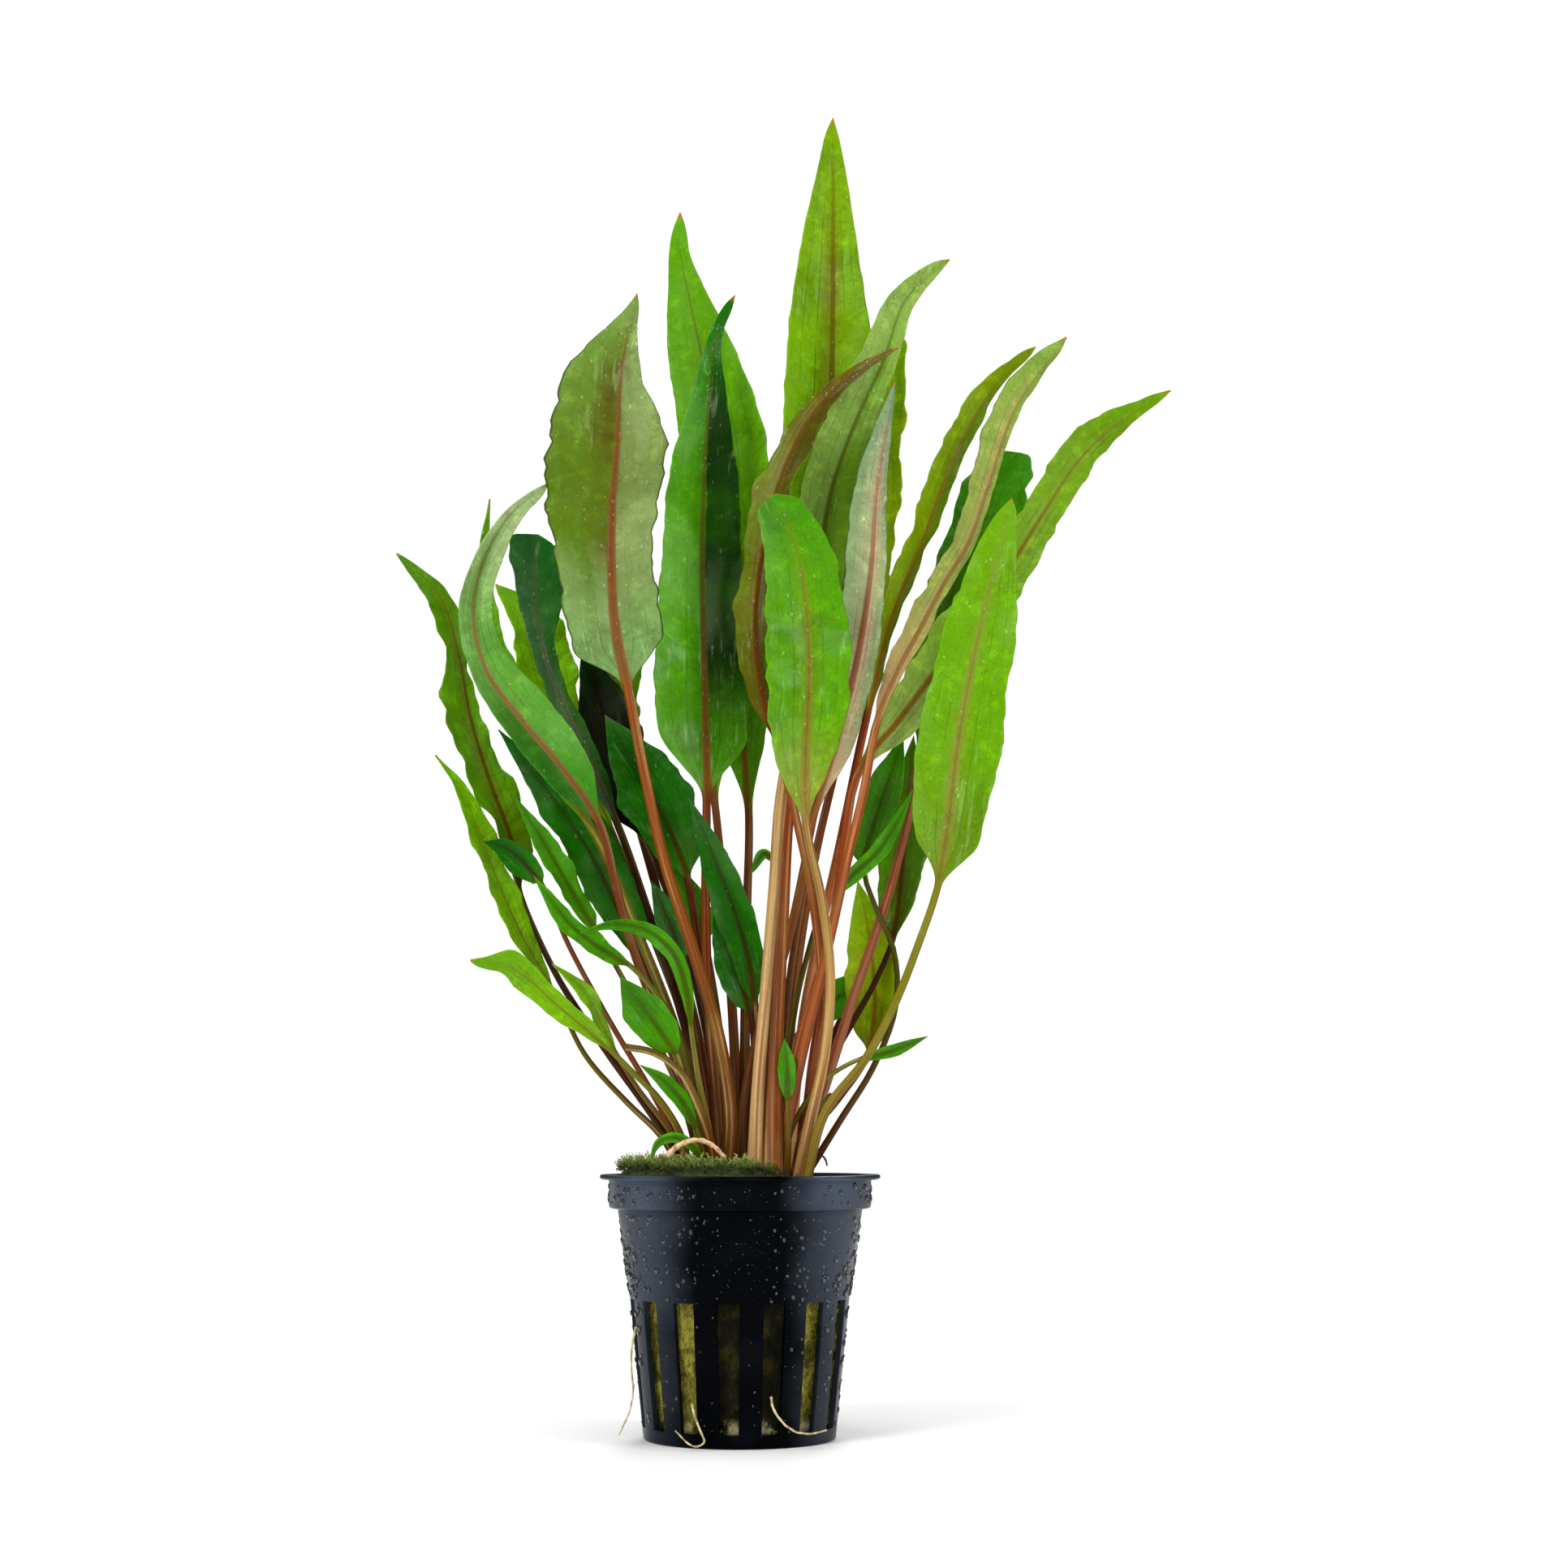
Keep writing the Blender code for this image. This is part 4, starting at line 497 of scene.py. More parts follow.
def meetings(leaves, routes, offsets):
    """For every cell of the front view: the nearest and farthest depth of each leaf found in it."""
    cells, owners, depths, places = [], [], [], []
    for index, (leaf, route, offset) in enumerate(zip(leaves, routes, offsets)):
        rings = leaf_rings(leaf, route, ring_stations(leaf, route), offset)
        points, place = surface_samples(rings)
        x, z = drawn(points)
        cells.append(np.floor(x / CELL).astype(int) * 4096 + np.floor(z / CELL).astype(int))
        owners.append(np.full(len(points), index))
        depths.append(points[:, 1])
        places.append(place)
    cells, owners, depths, places = map(np.concatenate, (cells, owners, depths, places))
    order = np.lexsort((depths, owners, cells))
    cells, owners, depths, places = cells[order], owners[order], depths[order], places[order]
    first = np.concatenate(([True], (cells[1:] != cells[:-1]) | (owners[1:] != owners[:-1])))
    start = np.flatnonzero(first)
    end = np.concatenate((start[1:], [len(cells)])) - 1
    return cells[start], owners[start], depths[start], places[start], depths[end], places[end]


def settle(leaves, routes):
    """Depth offsets, one per ring, that part leaves which would cross and keep the front view as it is."""
    sizes = [len(ring_stations(leaf, route)) for leaf, route in zip(leaves, routes)]
    offsets = [np.zeros(size) for size in sizes]
    widest = max(sizes)
    order = None
    for _ in range(SETTLE_ROUNDS):
        cell, owner, near, near_at, far, far_at = meetings(leaves, routes, offsets)
        pairs = []
        for step in range(1, 20):
            same = np.flatnonzero(cell[step:] == cell[:-step])
            if not len(same):
                break
            pairs.append(np.stack((same, same + step)))
        one, two = np.concatenate(pairs, axis=1)
        blades = ((far_at[one] > STALK_RINGS - 1) | (far_at[two] > STALK_RINGS - 1)).astype(int)
        if order is None:
            order = np.zeros((2, len(leaves), len(leaves)))
            gap = (near + far)[two] - (near + far)[one]
            np.add.at(order, (blades, owner[one], owner[two]), gap)
        one_first = order[blades, owner[one], owner[two]] >= 0
        front = np.where(one_first, one, two)
        back = np.where(one_first, two, one)
        lack = far[front] + SETTLE_GAP - near[back]
        keep = lack > 0
        front, back, lack = front[keep], back[keep], lack[keep]
        if not len(lack):
            break
        forward = np.zeros((len(leaves), widest))
        backward = np.zeros((len(leaves), widest))
        np.maximum.at(forward, (owner[front], np.round(far_at[front]).astype(int)), 0.5 * lack)
        np.maximum.at(backward, (owner[back], np.round(near_at[back]).astype(int)), 0.5 * lack)
        for index, size in enumerate(sizes):
            push = (backward - forward)[index, :size]
            around = np.convolve(np.pad(push, 1, mode="edge"), (0.3, 0.4, 0.3), mode="valid")
            offsets[index] += 0.7 * np.where(np.abs(around) > np.abs(push), around, push)
    return offsets

ROOTS = (
    ("slot_root_left", ((-19.6, -11.2, 22.0), (-20.2, -11.6, 19.0), (-20.4, -12.0, 15.0), (-20.0, -12.2, 11.0),
                        (-20.3, -12.4, 7.5), (-21.4, -12.6, 4.5), (-22.6, -12.4, 2.0)), (0.5, 0.3)),
    ("slot_root_loop", ((-8.6, -17.6, 8.2), (-8.4, -19.6, 7.6), (-7.4, -20.3, 4.6), (-6.3, -20.8, 1.6),
                        (-7.6, -21.2, 0.9), (-9.2, -21.2, 1.6), (-11.6, -20.9, 3.8)), (0.5, 0.3)),
    ("slot_root_middle", ((6.2, -18.6, 9.6), (6.6, -20.4, 7.8), (8.4, -20.6, 5.2), (11.0, -19.8, 3.4),
                          (14.0, -18.2, 3.0), (16.6, -16.4, 3.4)), (0.5, 0.3)),
    ("slot_root_back", ((-2.0, 19.2, 14.0), (-2.4, 21.4, 11.0), (-1.4, 22.0, 7.0), (0.6, 22.4, 3.4)), (0.5, 0.3)),
)
RUNNER = ((-13.6, -17.6, 54.1), (-12.2, -17.8, 55.6), (-9.8, -18.0, 56.9), (-7.0, -18.0, 57.1),
          (-4.4, -17.8, 55.8), (-2.8, -17.6, 54.0))

# Shader kit: one class for a value over the surface, one for a material that is being made.
class Value:
    """A value that varies over a surface. Sums and products of values add Math nodes to their material."""

    def __init__(self, finish, socket):
        self.finish = finish
        self.socket = socket

    def combine(self, operation, *values):
        return self.finish.node("ShaderNodeMath", {"operation": operation}, *values)

    def __add__(self, other):
        return self.combine("ADD", self, other)

    __radd__ = __add__

    def __sub__(self, other):
        return self.combine("SUBTRACT", self, other)

    def __rsub__(self, other):
        return self.combine("SUBTRACT", other, self)

    def __mul__(self, other):
        return self.combine("MULTIPLY", self, other)

    __rmul__ = __mul__

    def __truediv__(self, other):
        return self.combine("DIVIDE", self, other)

    def __abs__(self):
        return self.combine("ABSOLUTE", self)

    def greatest(self, other):
        return self.combine("MAXIMUM", self, other)

    def clamped(self):
        return self.finish.node("ShaderNodeClamp", None, self)


class Finish:
    """A material under construction, with a Principled shader whose constant values are given by name."""

    def __init__(self, name, **constants):
        self.material = bpy.data.materials.new(name)
        self.material.use_nodes = True
        self.tree = self.material.node_tree
        self.shader = self.tree.nodes["Principled BSDF"]
        for title, value in constants.items():
            self.shader.inputs[title.replace("_", " ")].default_value = value

    def node(self, kind, settings=None, *values, output=0, **named):
        """Adds a node: settings first, then its sockets by order or by name, and returns one output."""
        made = self.tree.nodes.new(kind)
        for title, value in (settings or {}).items():
            if title == "stops":
                self.set_stops(made.color_ramp, value)
            else:
                setattr(made, title, value)
        pairs = list(enumerate(values)) + [(title.replace("_", " "), value) for title, value in named.items()]
        for place, value in pairs:
            if isinstance(value, Value):
                self.tree.links.new(value.socket, made.inputs[place])
            elif value is not None:
                made.inputs[place].default_value = value
        return Value(self, made.outputs[output])

    def set_stops(self, ramp, stops):
        while len(ramp.elements) < len(stops):
            ramp.elements.new(0.5)
        for element, (place, colour) in zip(ramp.elements, stops):
            element.position = place
            element.color = colour

    def measure(self, name):
        """A number kept on the mesh's points."""
        return self.node("ShaderNodeAttribute", {"attribute_name": name}, output=2)

    def position(self, name):
        """A place kept on the mesh's points."""
        return self.node("ShaderNodeAttribute", {"attribute_name": name}, output=1)

    def rise(self, value, low, high):
        """A smooth step from 0 at low to 1 at high; low may be the larger."""
        settings = {"interpolation_type": "SMOOTHSTEP"}
        if low < high:
            return self.node("ShaderNodeMapRange", settings, value, low, high, 0.0, 1.0)
        return self.node("ShaderNodeMapRange", settings, value, high, low, 1.0, 0.0)

    def blend(self, share, first, second, how="MIX"):
        """Mixes two colours."""
        settings = {"data_type": "RGBA", "blend_type": how}
        made = self.tree.nodes.new("ShaderNodeMix")
        for title, value in settings.items():
            setattr(made, title, value)
        for place, value in ((0, share), (6, first), (7, second)):
            if isinstance(value, Value):
                self.tree.links.new(value.socket, made.inputs[place])
            else:
                made.inputs[place].default_value = value
        return Value(self, made.outputs[2])

    def stretch(self, vector, factors):
        """A place whose axes are scaled."""
        return self.node("ShaderNodeVectorMath", {"operation": "MULTIPLY"}, vector, factors)

    def noise(self, vector, scale, detail=2.0, rough=0.5, bend=0.0):
        return self.node("ShaderNodeTexNoise", None, Vector=vector, Scale=scale, Detail=detail,
                         Roughness=rough, Distortion=bend)

    def darker(self, colour, factor):
        """A colour multiplied by a factor, which may also lighten it."""
        return self.blend(1.0, colour, (factor, factor, factor, 1.0), "MULTIPLY")

    def cells(self, vector, scale, feature="DISTANCE_TO_EDGE"):
        return self.node("ShaderNodeTexVoronoi", {"feature": feature}, Vector=vector, Scale=scale)

    def set(self, title, value):
        self.tree.links.new(value.socket, self.shader.inputs[title])

    def bump(self, height, strength, distance):
        self.set("Normal", self.node("ShaderNodeBump", None, Strength=strength, Distance=distance, Height=height))


def eye_colour(red, green, blue):
    """A colour given as the eye sees it, from 0 to 255, as the linear colour that a shader takes."""
    shares = [channel / 255 for channel in (red, green, blue)]
    return (*[c / 12.92 if c <= 0.04045 else ((c + 0.055) / 1.055) ** 2.4 for c in shares], 1.0)


def tinted(colour, factor):
    return (*[channel * factor for channel in colour[:3]], 1.0)


# Leaf colours.
class Tone(NamedTuple):
    """The colours of a leaf's seen face: main green, beside the midrib, base, upper part, midrib, stalk, foot.

    The painted half shading is painted light and shade on one half, lighter on some leaves and darker on others: the
    right half where its share is above 0 and the left one below 0.
    dew sets both the drops on a blade and how strong its painted sheen streaks and patches are.
    """

    main: tuple
    centre: tuple
    low: tuple
    high: tuple
    rib: tuple
    stalk: tuple
    foot: tuple
    spread: float = 0.4
    dew: float = 0.0
    flank: tuple = (0, 0, 0)
    flank_share: float = 0.0
    turned: bool = False
    rib_wide: float = 1.0
    flank_span: tuple = (-1.0, 0.9)
    cap: float = 0.85


RUST = (178, 86, 42)
PALE = (250, 196, 150)
TAN = (234, 170, 116)
BROWN = (116, 64, 20)
UMBER = (84, 48, 16)
MOSSY = (112, 116, 34)
OLIVE = (96, 82, 34)
TONES = {
    "sunny": Tone((116, 170, 20), (120, 128, 20), (104, 152, 24), (120, 164, 20), (96, 66, 16), (168, 92, 50),
                  (156, 96, 54), 0.35, 0.2, rib_wide=1.6),
    "clear": Tone((106, 172, 18), (104, 150, 22), (86, 146, 20), (98, 166, 16), (92, 84, 20), (150, 84, 40),
                  (128, 80, 42), 0.3, rib_wide=1.2),
    "centre": Tone((96, 176, 20), (66, 130, 16), (86, 156, 34), (40, 120, 14), (104, 84, 40), RUST,
                   (140, 88, 48), 0.3, 1.0, (13, 52, 7), 0.94, False, 1.25, (0.18, 0.88)),
    "broad": Tone((92, 126, 34), (88, 82, 28), (128, 168, 100), (112, 146, 60), (140, 80, 46), (148, 82, 34),
                  (112, 74, 36), 0.62, 1.0, (140, 160, 96), -0.6, True, 1.5, (0.28, 0.95)),
    "arching": Tone((102, 168, 62), (104, 158, 66), (54, 132, 20), (206, 232, 160), (152, 108, 66), BROWN,
                    (124, 88, 48), 0.25, 0.3, (36, 90, 14), -0.75, flank_span=(-1.0, 0.42)),
    "bright": Tone((94, 162, 20), (106, 156, 30), (138, 154, 40), (76, 146, 16), (138, 130, 48), (184, 148, 82),
                   (196, 146, 92), 0.3, 0.5, rib_wide=1.5, cap=0.0),
    "brown": Tone((108, 124, 34), (124, 100, 44), (92, 84, 30), (104, 92, 26), (96, 58, 26), (150, 80, 38),
                  (176, 104, 66), 0.6, 0.8, (66, 54, 18), 0.65, False, 1.3),
    # The pale grey leaf's dark green base colour is painted shade.
    "grey": Tone((108, 148, 40), (88, 128, 34), (44, 88, 12), (150, 184, 84), (92, 92, 34), (200, 164, 108),
                 (202, 156, 106), 0.3, 0.5, (146, 176, 92), -0.4),
    "yellow": Tone((158, 190, 24), (150, 172, 26), (126, 146, 24), (132, 182, 20), (138, 126, 26), RUST, TAN, 0.3),
    "pink": Tone((158, 180, 124), (212, 174, 138), (196, 170, 130), (126, 158, 118), (150, 84, 54),
                 (170, 104, 54), (150, 88, 56), 0.9, 1.0, (140, 170, 116), 0.55, True, 1.3),
    "ribbon": Tone((130, 160, 28), (112, 132, 20), (150, 164, 34), (130, 158, 24), (140, 108, 34), RUST, TAN,
                   0.4, 0.0, (86, 112, 14), 0.8),
    "tan": Tone((148, 162, 78), (160, 150, 86), (190, 152, 108), (138, 172, 72), (150, 114, 64), (176, 98, 54),
                (166, 96, 56), 0.5, 0.0, (0, 0, 0), 0.0, True, 0.85),
    "outer": Tone((126, 170, 48), (134, 160, 52), (160, 184, 98), (112, 160, 28), (130, 106, 36), RUST,
                  (178, 104, 62), 0.3),
    "lime": Tone((108, 168, 24), (118, 162, 36), (112, 148, 38), (112, 168, 24), (148, 144, 60), (130, 130, 36),
                 (150, 124, 54), 0.3, 0.5, rib_wide=1.7),
    "young": Tone((122, 180, 28), (118, 164, 30), (122, 170, 30), (110, 172, 22), (124, 146, 36), MOSSY,
                  (140, 104, 42), 0.25, rib_wide=0.6),
    "olive": Tone((98, 158, 26), (102, 124, 22), (96, 126, 20), (80, 130, 14), (102, 78, 20), UMBER, BROWN, 0.5),
    "green": Tone((76, 152, 14), (66, 126, 12), (80, 148, 18), (70, 144, 12), (74, 106, 16), MOSSY, BROWN, 0.3,
                  cap=0.0),
    "rusty": Tone((70, 140, 14), (66, 120, 12), (80, 148, 18), (64, 134, 12), (74, 106, 16), (230, 134, 90),
                  (226, 130, 92), 0.3, cap=0.0),
    "deep": Tone((42, 108, 10), (34, 84, 8), (56, 122, 14), (36, 98, 10), (56, 66, 14), BROWN, RUST, 0.35, 0.4,
                 cap=0.0),
    # A leaf deep inside the plant, made near-black: painted shade.
    "umber": Tone((34, 30, 8), (26, 16, 6), (38, 24, 8), (30, 50, 10), (50, 26, 10), UMBER, BROWN, 0.5, cap=0.0),
    "folded": Tone((50, 100, 34), (78, 108, 66), (34, 80, 20), (42, 104, 42), (98, 106, 76), UMBER, BROWN, 0.5,
                   0.6, (96, 124, 92), -0.35, cap=0.0),
    "stub": Tone((110, 92, 40), (110, 92, 40), (110, 92, 40), (110, 92, 40), OLIVE, OLIVE, BROWN),
}
TONE_OF = {
    "sunny": ("tall_back_leaf", "back_leaf_centre"),
    "clear": ("second_tall_leaf", "back_leaf_right"),
    "centre": ("centre_dark_leaf",),
    "broad": ("left_broad_leaf",),
    "arching": ("left_arching_leaf",),
    "bright": ("front_bright_leaf",),
    "brown": ("brown_twisted_leaf",),
    "grey": ("pale_grey_leaf",),
    "yellow": ("yellow_back_leaf", "orange_tip_leaf"),
    "pink": ("pink_under_leaf",),
    "ribbon": ("olive_ribbon_leaf",),
    "tan": ("tan_wavy_leaf",),
    "outer": ("far_right_leaf",),
    "lime": ("right_lime_leaf", "left_twin_leaf"),
    "young": ("thin_lime_leaf", "low_lime_leaf", "hidden_lime_leaf", "thin_wavy_leaf"),
    "olive": ("far_left_olive_leaf", "right_olive_leaf", "back_leaf_left"),
    "green": ("narrow_wavy_leaf", "light_wavy_leaf", "bent_leaf", "small_round_leaf", "small_narrow_leaf",
              "thin_right_leaf", "slim_right_leaf", "curl_leaf", "low_bright_leaf", "inner_bright_leaf", "rim_leaf",
              "tiny_inner_leaf", "bowed_stalk_leaf"),
    "rusty": ("deep_right_leaf",),
    "deep": ("small_dark_leaf", "large_dark_leaf", "centre_left_leaf", "front_dark_leaf", "inner_dark_leaf", "slim_dark_leaf",
             "back_leaf_far_right"),
    "umber": ("black_green_leaf",),
    "folded": ("dark_folded_leaf",),
    "stub": ("cut_stalk_left", "cut_stalk_right"),
}
SLOT_OF = {
    "dark_leaf": ("centre_dark", "small_dark", "narrow_wavy", "dark_folded", "large_dark", "centre_left",
                  "black_green", "front_dark", "inner_dark", "slim_dark", "bent", "small_narrow", "rim",
                  "deep_right", "bowed_stalk", "thin_right", "slim_right", "curl", "tiny_inner"),
    "olive_leaf": ("far_left_olive", "olive_ribbon", "brown_twisted", "right_olive"),
    "turned_leaf": ("left_broad", "pink_under", "tan_wavy", "pale_grey"),
}
LIGHT_SHARE = 0.82
GLOSS_SHARE = 0.009
TIP_BROWN = eye_colour(168, 108, 14)
SHEATH = eye_colour(150, 128, 62)
CREAM = eye_colour(226, 196, 130)
STRIPE = eye_colour(132, 52, 26)
SHINE = eye_colour(190, 206, 158)
PALE_UNDER = eye_colour(140, 156, 96)
FRESH_UPPER = eye_colour(84, 140, 28)


def leaf_slot(leaf):
    """The finish slot of a leaf or a cut stalk."""
    if not leaf.blade:
        return "stalk"
    if leaf.name.startswith("back_leaf"):
        return "dark_leaf"
    short = leaf.name.removesuffix("_leaf")
    return next((slot for slot, names in SLOT_OF.items() if short in names), "bright_leaf")


def lit(colour):
    """A colour as seen in the photograph, less the share that the studio light and the wet gloss add."""
    return (*[max(LIGHT_SHARE * channel - GLOSS_SHARE, 0.0006) for channel in eye_colour(*colour)[:3]], 1.0)


def leaf_finish(name, tone):
    """A wet satin leaf: green blade with veins and blotches, brown midrib and tip, ridged rusty stalk, with painted
    highlight streaks and patches on the blade, painted light and shade on one half of some blades, and painted shade
    on the stalks' sides and on the stalks further back.
    """
    colours = Tone(*[lit(part) for part in tone[:7]], *tone[7:])._replace(flank=lit(tone.flank))
    leaf = Finish(name, Specular_IOR_Level=0.05, Coat_Roughness=0.14)
    along = leaf.measure("along")
    across = leaf.measure("across")
    upper = leaf.rise(leaf.measure("side"), -0.3, 0.3)
    wet = leaf.measure("wet")
    place = leaf.position("cloth")
    reach = abs(across)
    blade = leaf.rise(along, 0.0, 0.05)
    cloud = leaf.noise(place, 0.06, 3.0, 0.6)
    fleck = leaf.noise(place, 0.35, 3.0, 0.65)
    fine = leaf.noise(place, 1.6, 2.0, 0.6)

    seen_face = 1 - upper if colours.turned else upper
    beside_rib = leaf.rise(reach, 0.2 + 0.75 * colours.spread, 0.06) * leaf.rise(cloud, 0.2, 0.6)
    green = leaf.blend(leaf.rise(along, 0.5, 0.95), colours.main, colours.high)
    green = leaf.blend(beside_rib * leaf.rise(along, 1.0, 0.7), green, colours.centre)
    green = leaf.blend(leaf.rise(along + (cloud - 0.5) * 0.2, 0.4, 0.04) * 0.9, green, colours.low)
    # Painted light and shade on one half of the blade, lighter on some leaves and darker on others.
    if colours.flank_share:
        half = across if colours.flank_share > 0 else across * -1.0
        first, last = colours.flank_span
        flank = leaf.rise(half + (cloud - 0.5) * 0.3, -0.03, 0.1) * leaf.rise(along, last + 0.15, last - 0.15)
        flank = flank * leaf.rise(along, first - 0.12, first + 0.12)
        green = leaf.blend(flank * abs(colours.flank_share), green, colours.flank)
    hidden = FRESH_UPPER if colours.turned else PALE_UNDER
    green = leaf.blend(seen_face, leaf.blend(0.4, colours.main, hidden), green)
    green = leaf.blend(leaf.rise(cloud, 0.48, 0.3) * 0.5, green, leaf.blend(0.5, green, colours.centre))
    green = leaf.blend(leaf.rise(cloud, 0.5, 0.68) * 0.5, green, leaf.darker(green, 0.6))
    green = leaf.blend(leaf.rise(fleck, 0.48, 0.74) * 0.55, green, leaf.darker(green, 1.7))
    green = leaf.blend(leaf.rise(fine, 0.53, 0.7) * 0.4, green, leaf.darker(green, 0.55))

    from_rib = abs(leaf.node("ShaderNodeSeparateXYZ", None, place))
    sway = (leaf.noise(leaf.stretch(place, (0.0, 1.0, 1.0)), 0.12) - 0.5) * 0.09
    inner_vein = leaf.rise(abs(reach - 0.35 + sway), 0.03, 0.0)
    outer_vein = leaf.rise(abs(reach - 0.68 + sway), 0.024, 0.0)
    long_veins = (inner_vein + outer_vein * 0.7) * leaf.rise(along, 1.0, 0.75) * leaf.rise(cloud, 0.32, 0.58)
    slanted = leaf.node("ShaderNodeVectorMath", {"operation": "ADD"}, leaf.stretch(place, (0.14, 0.24, 1.0)),
                        leaf.node("ShaderNodeCombineXYZ", None, fleck * 0.5, from_rib * -0.16 + cloud * 1.2, 0.0))
    edges = leaf.cells(slanted, 1.0)
    web = leaf.rise(edges, 0.07, 0.0) * leaf.rise(cloud, 0.36, 0.6)
    veins = long_veins.greatest(web * 0.55)
    green = leaf.blend(veins * 0.42, green, leaf.blend(0.4, leaf.darker(green, 0.45), tinted(colours.rib, 0.8)))

    # Painted highlight: pale streaks along the blade and broad pale patches, stronger on leaves that carry drops.
    streaks = leaf.noise(leaf.stretch(place, (0.75, 0.09, 1.0)), 1.0, 3.0, 0.6, 0.4)
    shine = leaf.rise(streaks, 0.56, 0.7) * leaf.rise(cloud, 0.42, 0.6) * (0.2 + 0.5 * colours.dew)
    green = leaf.blend(shine, green, leaf.blend(0.3, leaf.darker(green, 1.7), leaf.darker(SHINE, 0.8)))
    painted_sheen_patches = leaf.noise(leaf.stretch(place, (1.0, 0.45, 1.0)), 0.1, 2.0, 0.5, 0.6)
    green = leaf.blend(leaf.rise(painted_sheen_patches, 0.45, 0.76) * (0.1 + 0.26 * colours.dew), green,
                       leaf.blend(0.35, leaf.darker(green, 1.5), SHINE))
    margin = leaf.rise(reach, 0.94, 1.0)
    green = leaf.blend(margin * 0.3, green, tinted(colours.main, 1.5))
    rib_width = leaf.node("ShaderNodeMapRange", None, along, 0.0, 1.0, colours.rib_wide,
                          0.2 * colours.rib_wide)
    rib = leaf.rise(from_rib / rib_width, 1.0, 0.5) * leaf.rise(along, 1.0, 0.9)
    rib_colour = leaf.blend(leaf.rise(along, 0.35, 0.0), colours.rib, leaf.blend(0.5, colours.rib, colours.stalk))
    groove = leaf.rise(from_rib / rib_width, 0.35, 0.1)
    rib_colour = leaf.blend(groove * 0.5, rib_colour, leaf.darker(rib_colour, 0.5))
    green = leaf.blend(rib * leaf.rise(along, 1.3, 0.3) * 0.9, green,
                       leaf.blend(leaf.rise(fleck, 0.4, 0.7) * 0.5, rib_colour, leaf.darker(rib_colour, 0.55)))
    tip = leaf.rise(along + (fleck - 0.5) * 0.01, 0.984, 0.996)
    green = leaf.blend(tip * colours.cap, green, TIP_BROWN)

    ridges = leaf.noise(leaf.stretch(place, (1.7, 0.02, 1.0)), 1.0, 2.0, 0.65)
    stalk = leaf.blend(leaf.rise(along, -0.2, -0.95), colours.stalk, colours.foot)
    stalk = leaf.blend(leaf.rise(cloud, 0.5, 0.7) * 0.3, stalk, SHEATH)
    stalk = leaf.blend(leaf.rise(ridges, 0.46, 0.34) * 0.6, stalk, leaf.blend(0.5, leaf.darker(stalk, 1.5), CREAM))
    stripe = leaf.blend(0.5, tinted(colours.stalk, 0.4), STRIPE)
    stalk = leaf.blend(leaf.rise(ridges, 0.52, 0.61) * 0.75, stalk, stripe)
    # Painted shade: the stalk is darker towards its left and right sides as seen from the front.
    stalk = leaf.blend(leaf.rise(reach, 0.55, 1.0) * 0.35, stalk, leaf.darker(stalk, 0.5))
    stalk = leaf.blend(leaf.rise(fleck, 0.52, 0.72) * 0.25, stalk, tinted(colours.foot, 1.15))
    stalk = leaf.blend(leaf.rise(fine, 0.56, 0.7) * 0.3, stalk, tinted(colours.stalk, 0.5))
    # Painted shade: stalks standing further back are darker.
    depth = leaf.node("ShaderNodeSeparateXYZ", None, leaf.node("ShaderNodeTexCoord", output=3), output=1)
    stalk = leaf.blend(leaf.rise(depth, -0.009, 0.004) * 0.7, stalk, leaf.darker(stalk, 0.26))
    surface = leaf.blend(blade, stalk, green)
    leaf.set("Base Color", leaf.blend(wet * 0.3, surface, leaf.darker(surface, 1.8)))

    rough = 0.42 + (fleck - 0.5) * 0.3 + web * 0.06
    leaf.set("Roughness", rough * (1 - wet) + wet * 0.04)
    sheen = (leaf.rise(cloud, 0.48, 0.62) * (0.05 + 0.12 * colours.dew) + shine * 0.3) * blade + (1 - blade) * 0.12
    leaf.set("Coat Weight", (sheen + wet * 0.8).clamped())
    quilt = leaf.rise(edges, 0.0, 0.4)
    height = (quilt * 0.45 - veins * 0.35 + cloud + streaks * 0.5) * blade + (ridges + fine * 0.1) * (1 - blade)
    leaf.bump(height * (1 - wet), 0.75, 0.0004)
    return leaf.material


# Mesh making.
def add_piece(name, points, faces, slot, material, replaced=(), facts=None):
    """A smooth piece from points in millimetres that rides with the plant. facts are numbers kept on its points."""
    mesh = bpy.data.meshes.new(name)
    mesh.from_pydata((np.asarray(points, float) * MM).tolist(), [], np.asarray(faces).tolist()
                     if isinstance(faces, np.ndarray) else faces)
    shaped = bmesh.new()
    shaped.from_mesh(mesh)
    bmesh.ops.recalc_face_normals(shaped, faces=shaped.faces)
    shaped.to_mesh(mesh)
    shaped.free()
    for title, values in (facts or {}).items():
        values = np.asarray(values, np.float32)
        kind, field = ("FLOAT", "value") if values.ndim == 1 else ("FLOAT_VECTOR", "vector")
        mesh.attributes.new(title, kind, "POINT").data.foreach_set(field, values.ravel())
    mesh.shade_smooth()
    mesh.materials.append(material)
    piece = bpy.data.objects.new(name, mesh)
    bpy.context.scene.collection.objects.link(piece)
    place_piece(piece, replaced)
    return piece


def place_piece(piece, replaced):
    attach(piece, "root")
    if replaced:
        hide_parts(*replaced)


def sleeve(rings, sides):
    """Quads round a stack of closed rings, with a fan on each end's middle point (the last two points)."""
    ring, k = np.meshgrid(np.arange(rings - 1), np.arange(sides), indexing="ij")
    after = (k + 1) % sides
    quads = np.stack((ring * sides + k, ring * sides + after, (ring + 1) * sides + after, (ring + 1) * sides + k),
                     axis=-1).reshape(-1, 4).tolist()
    foot, top, last = rings * sides, rings * sides + 1, (rings - 1) * sides
    quads += [(foot, (s + 1) % sides, s) for s in range(sides)]
    quads += [(top, last + s, last + (s + 1) % sides) for s in range(sides)]
    return quads


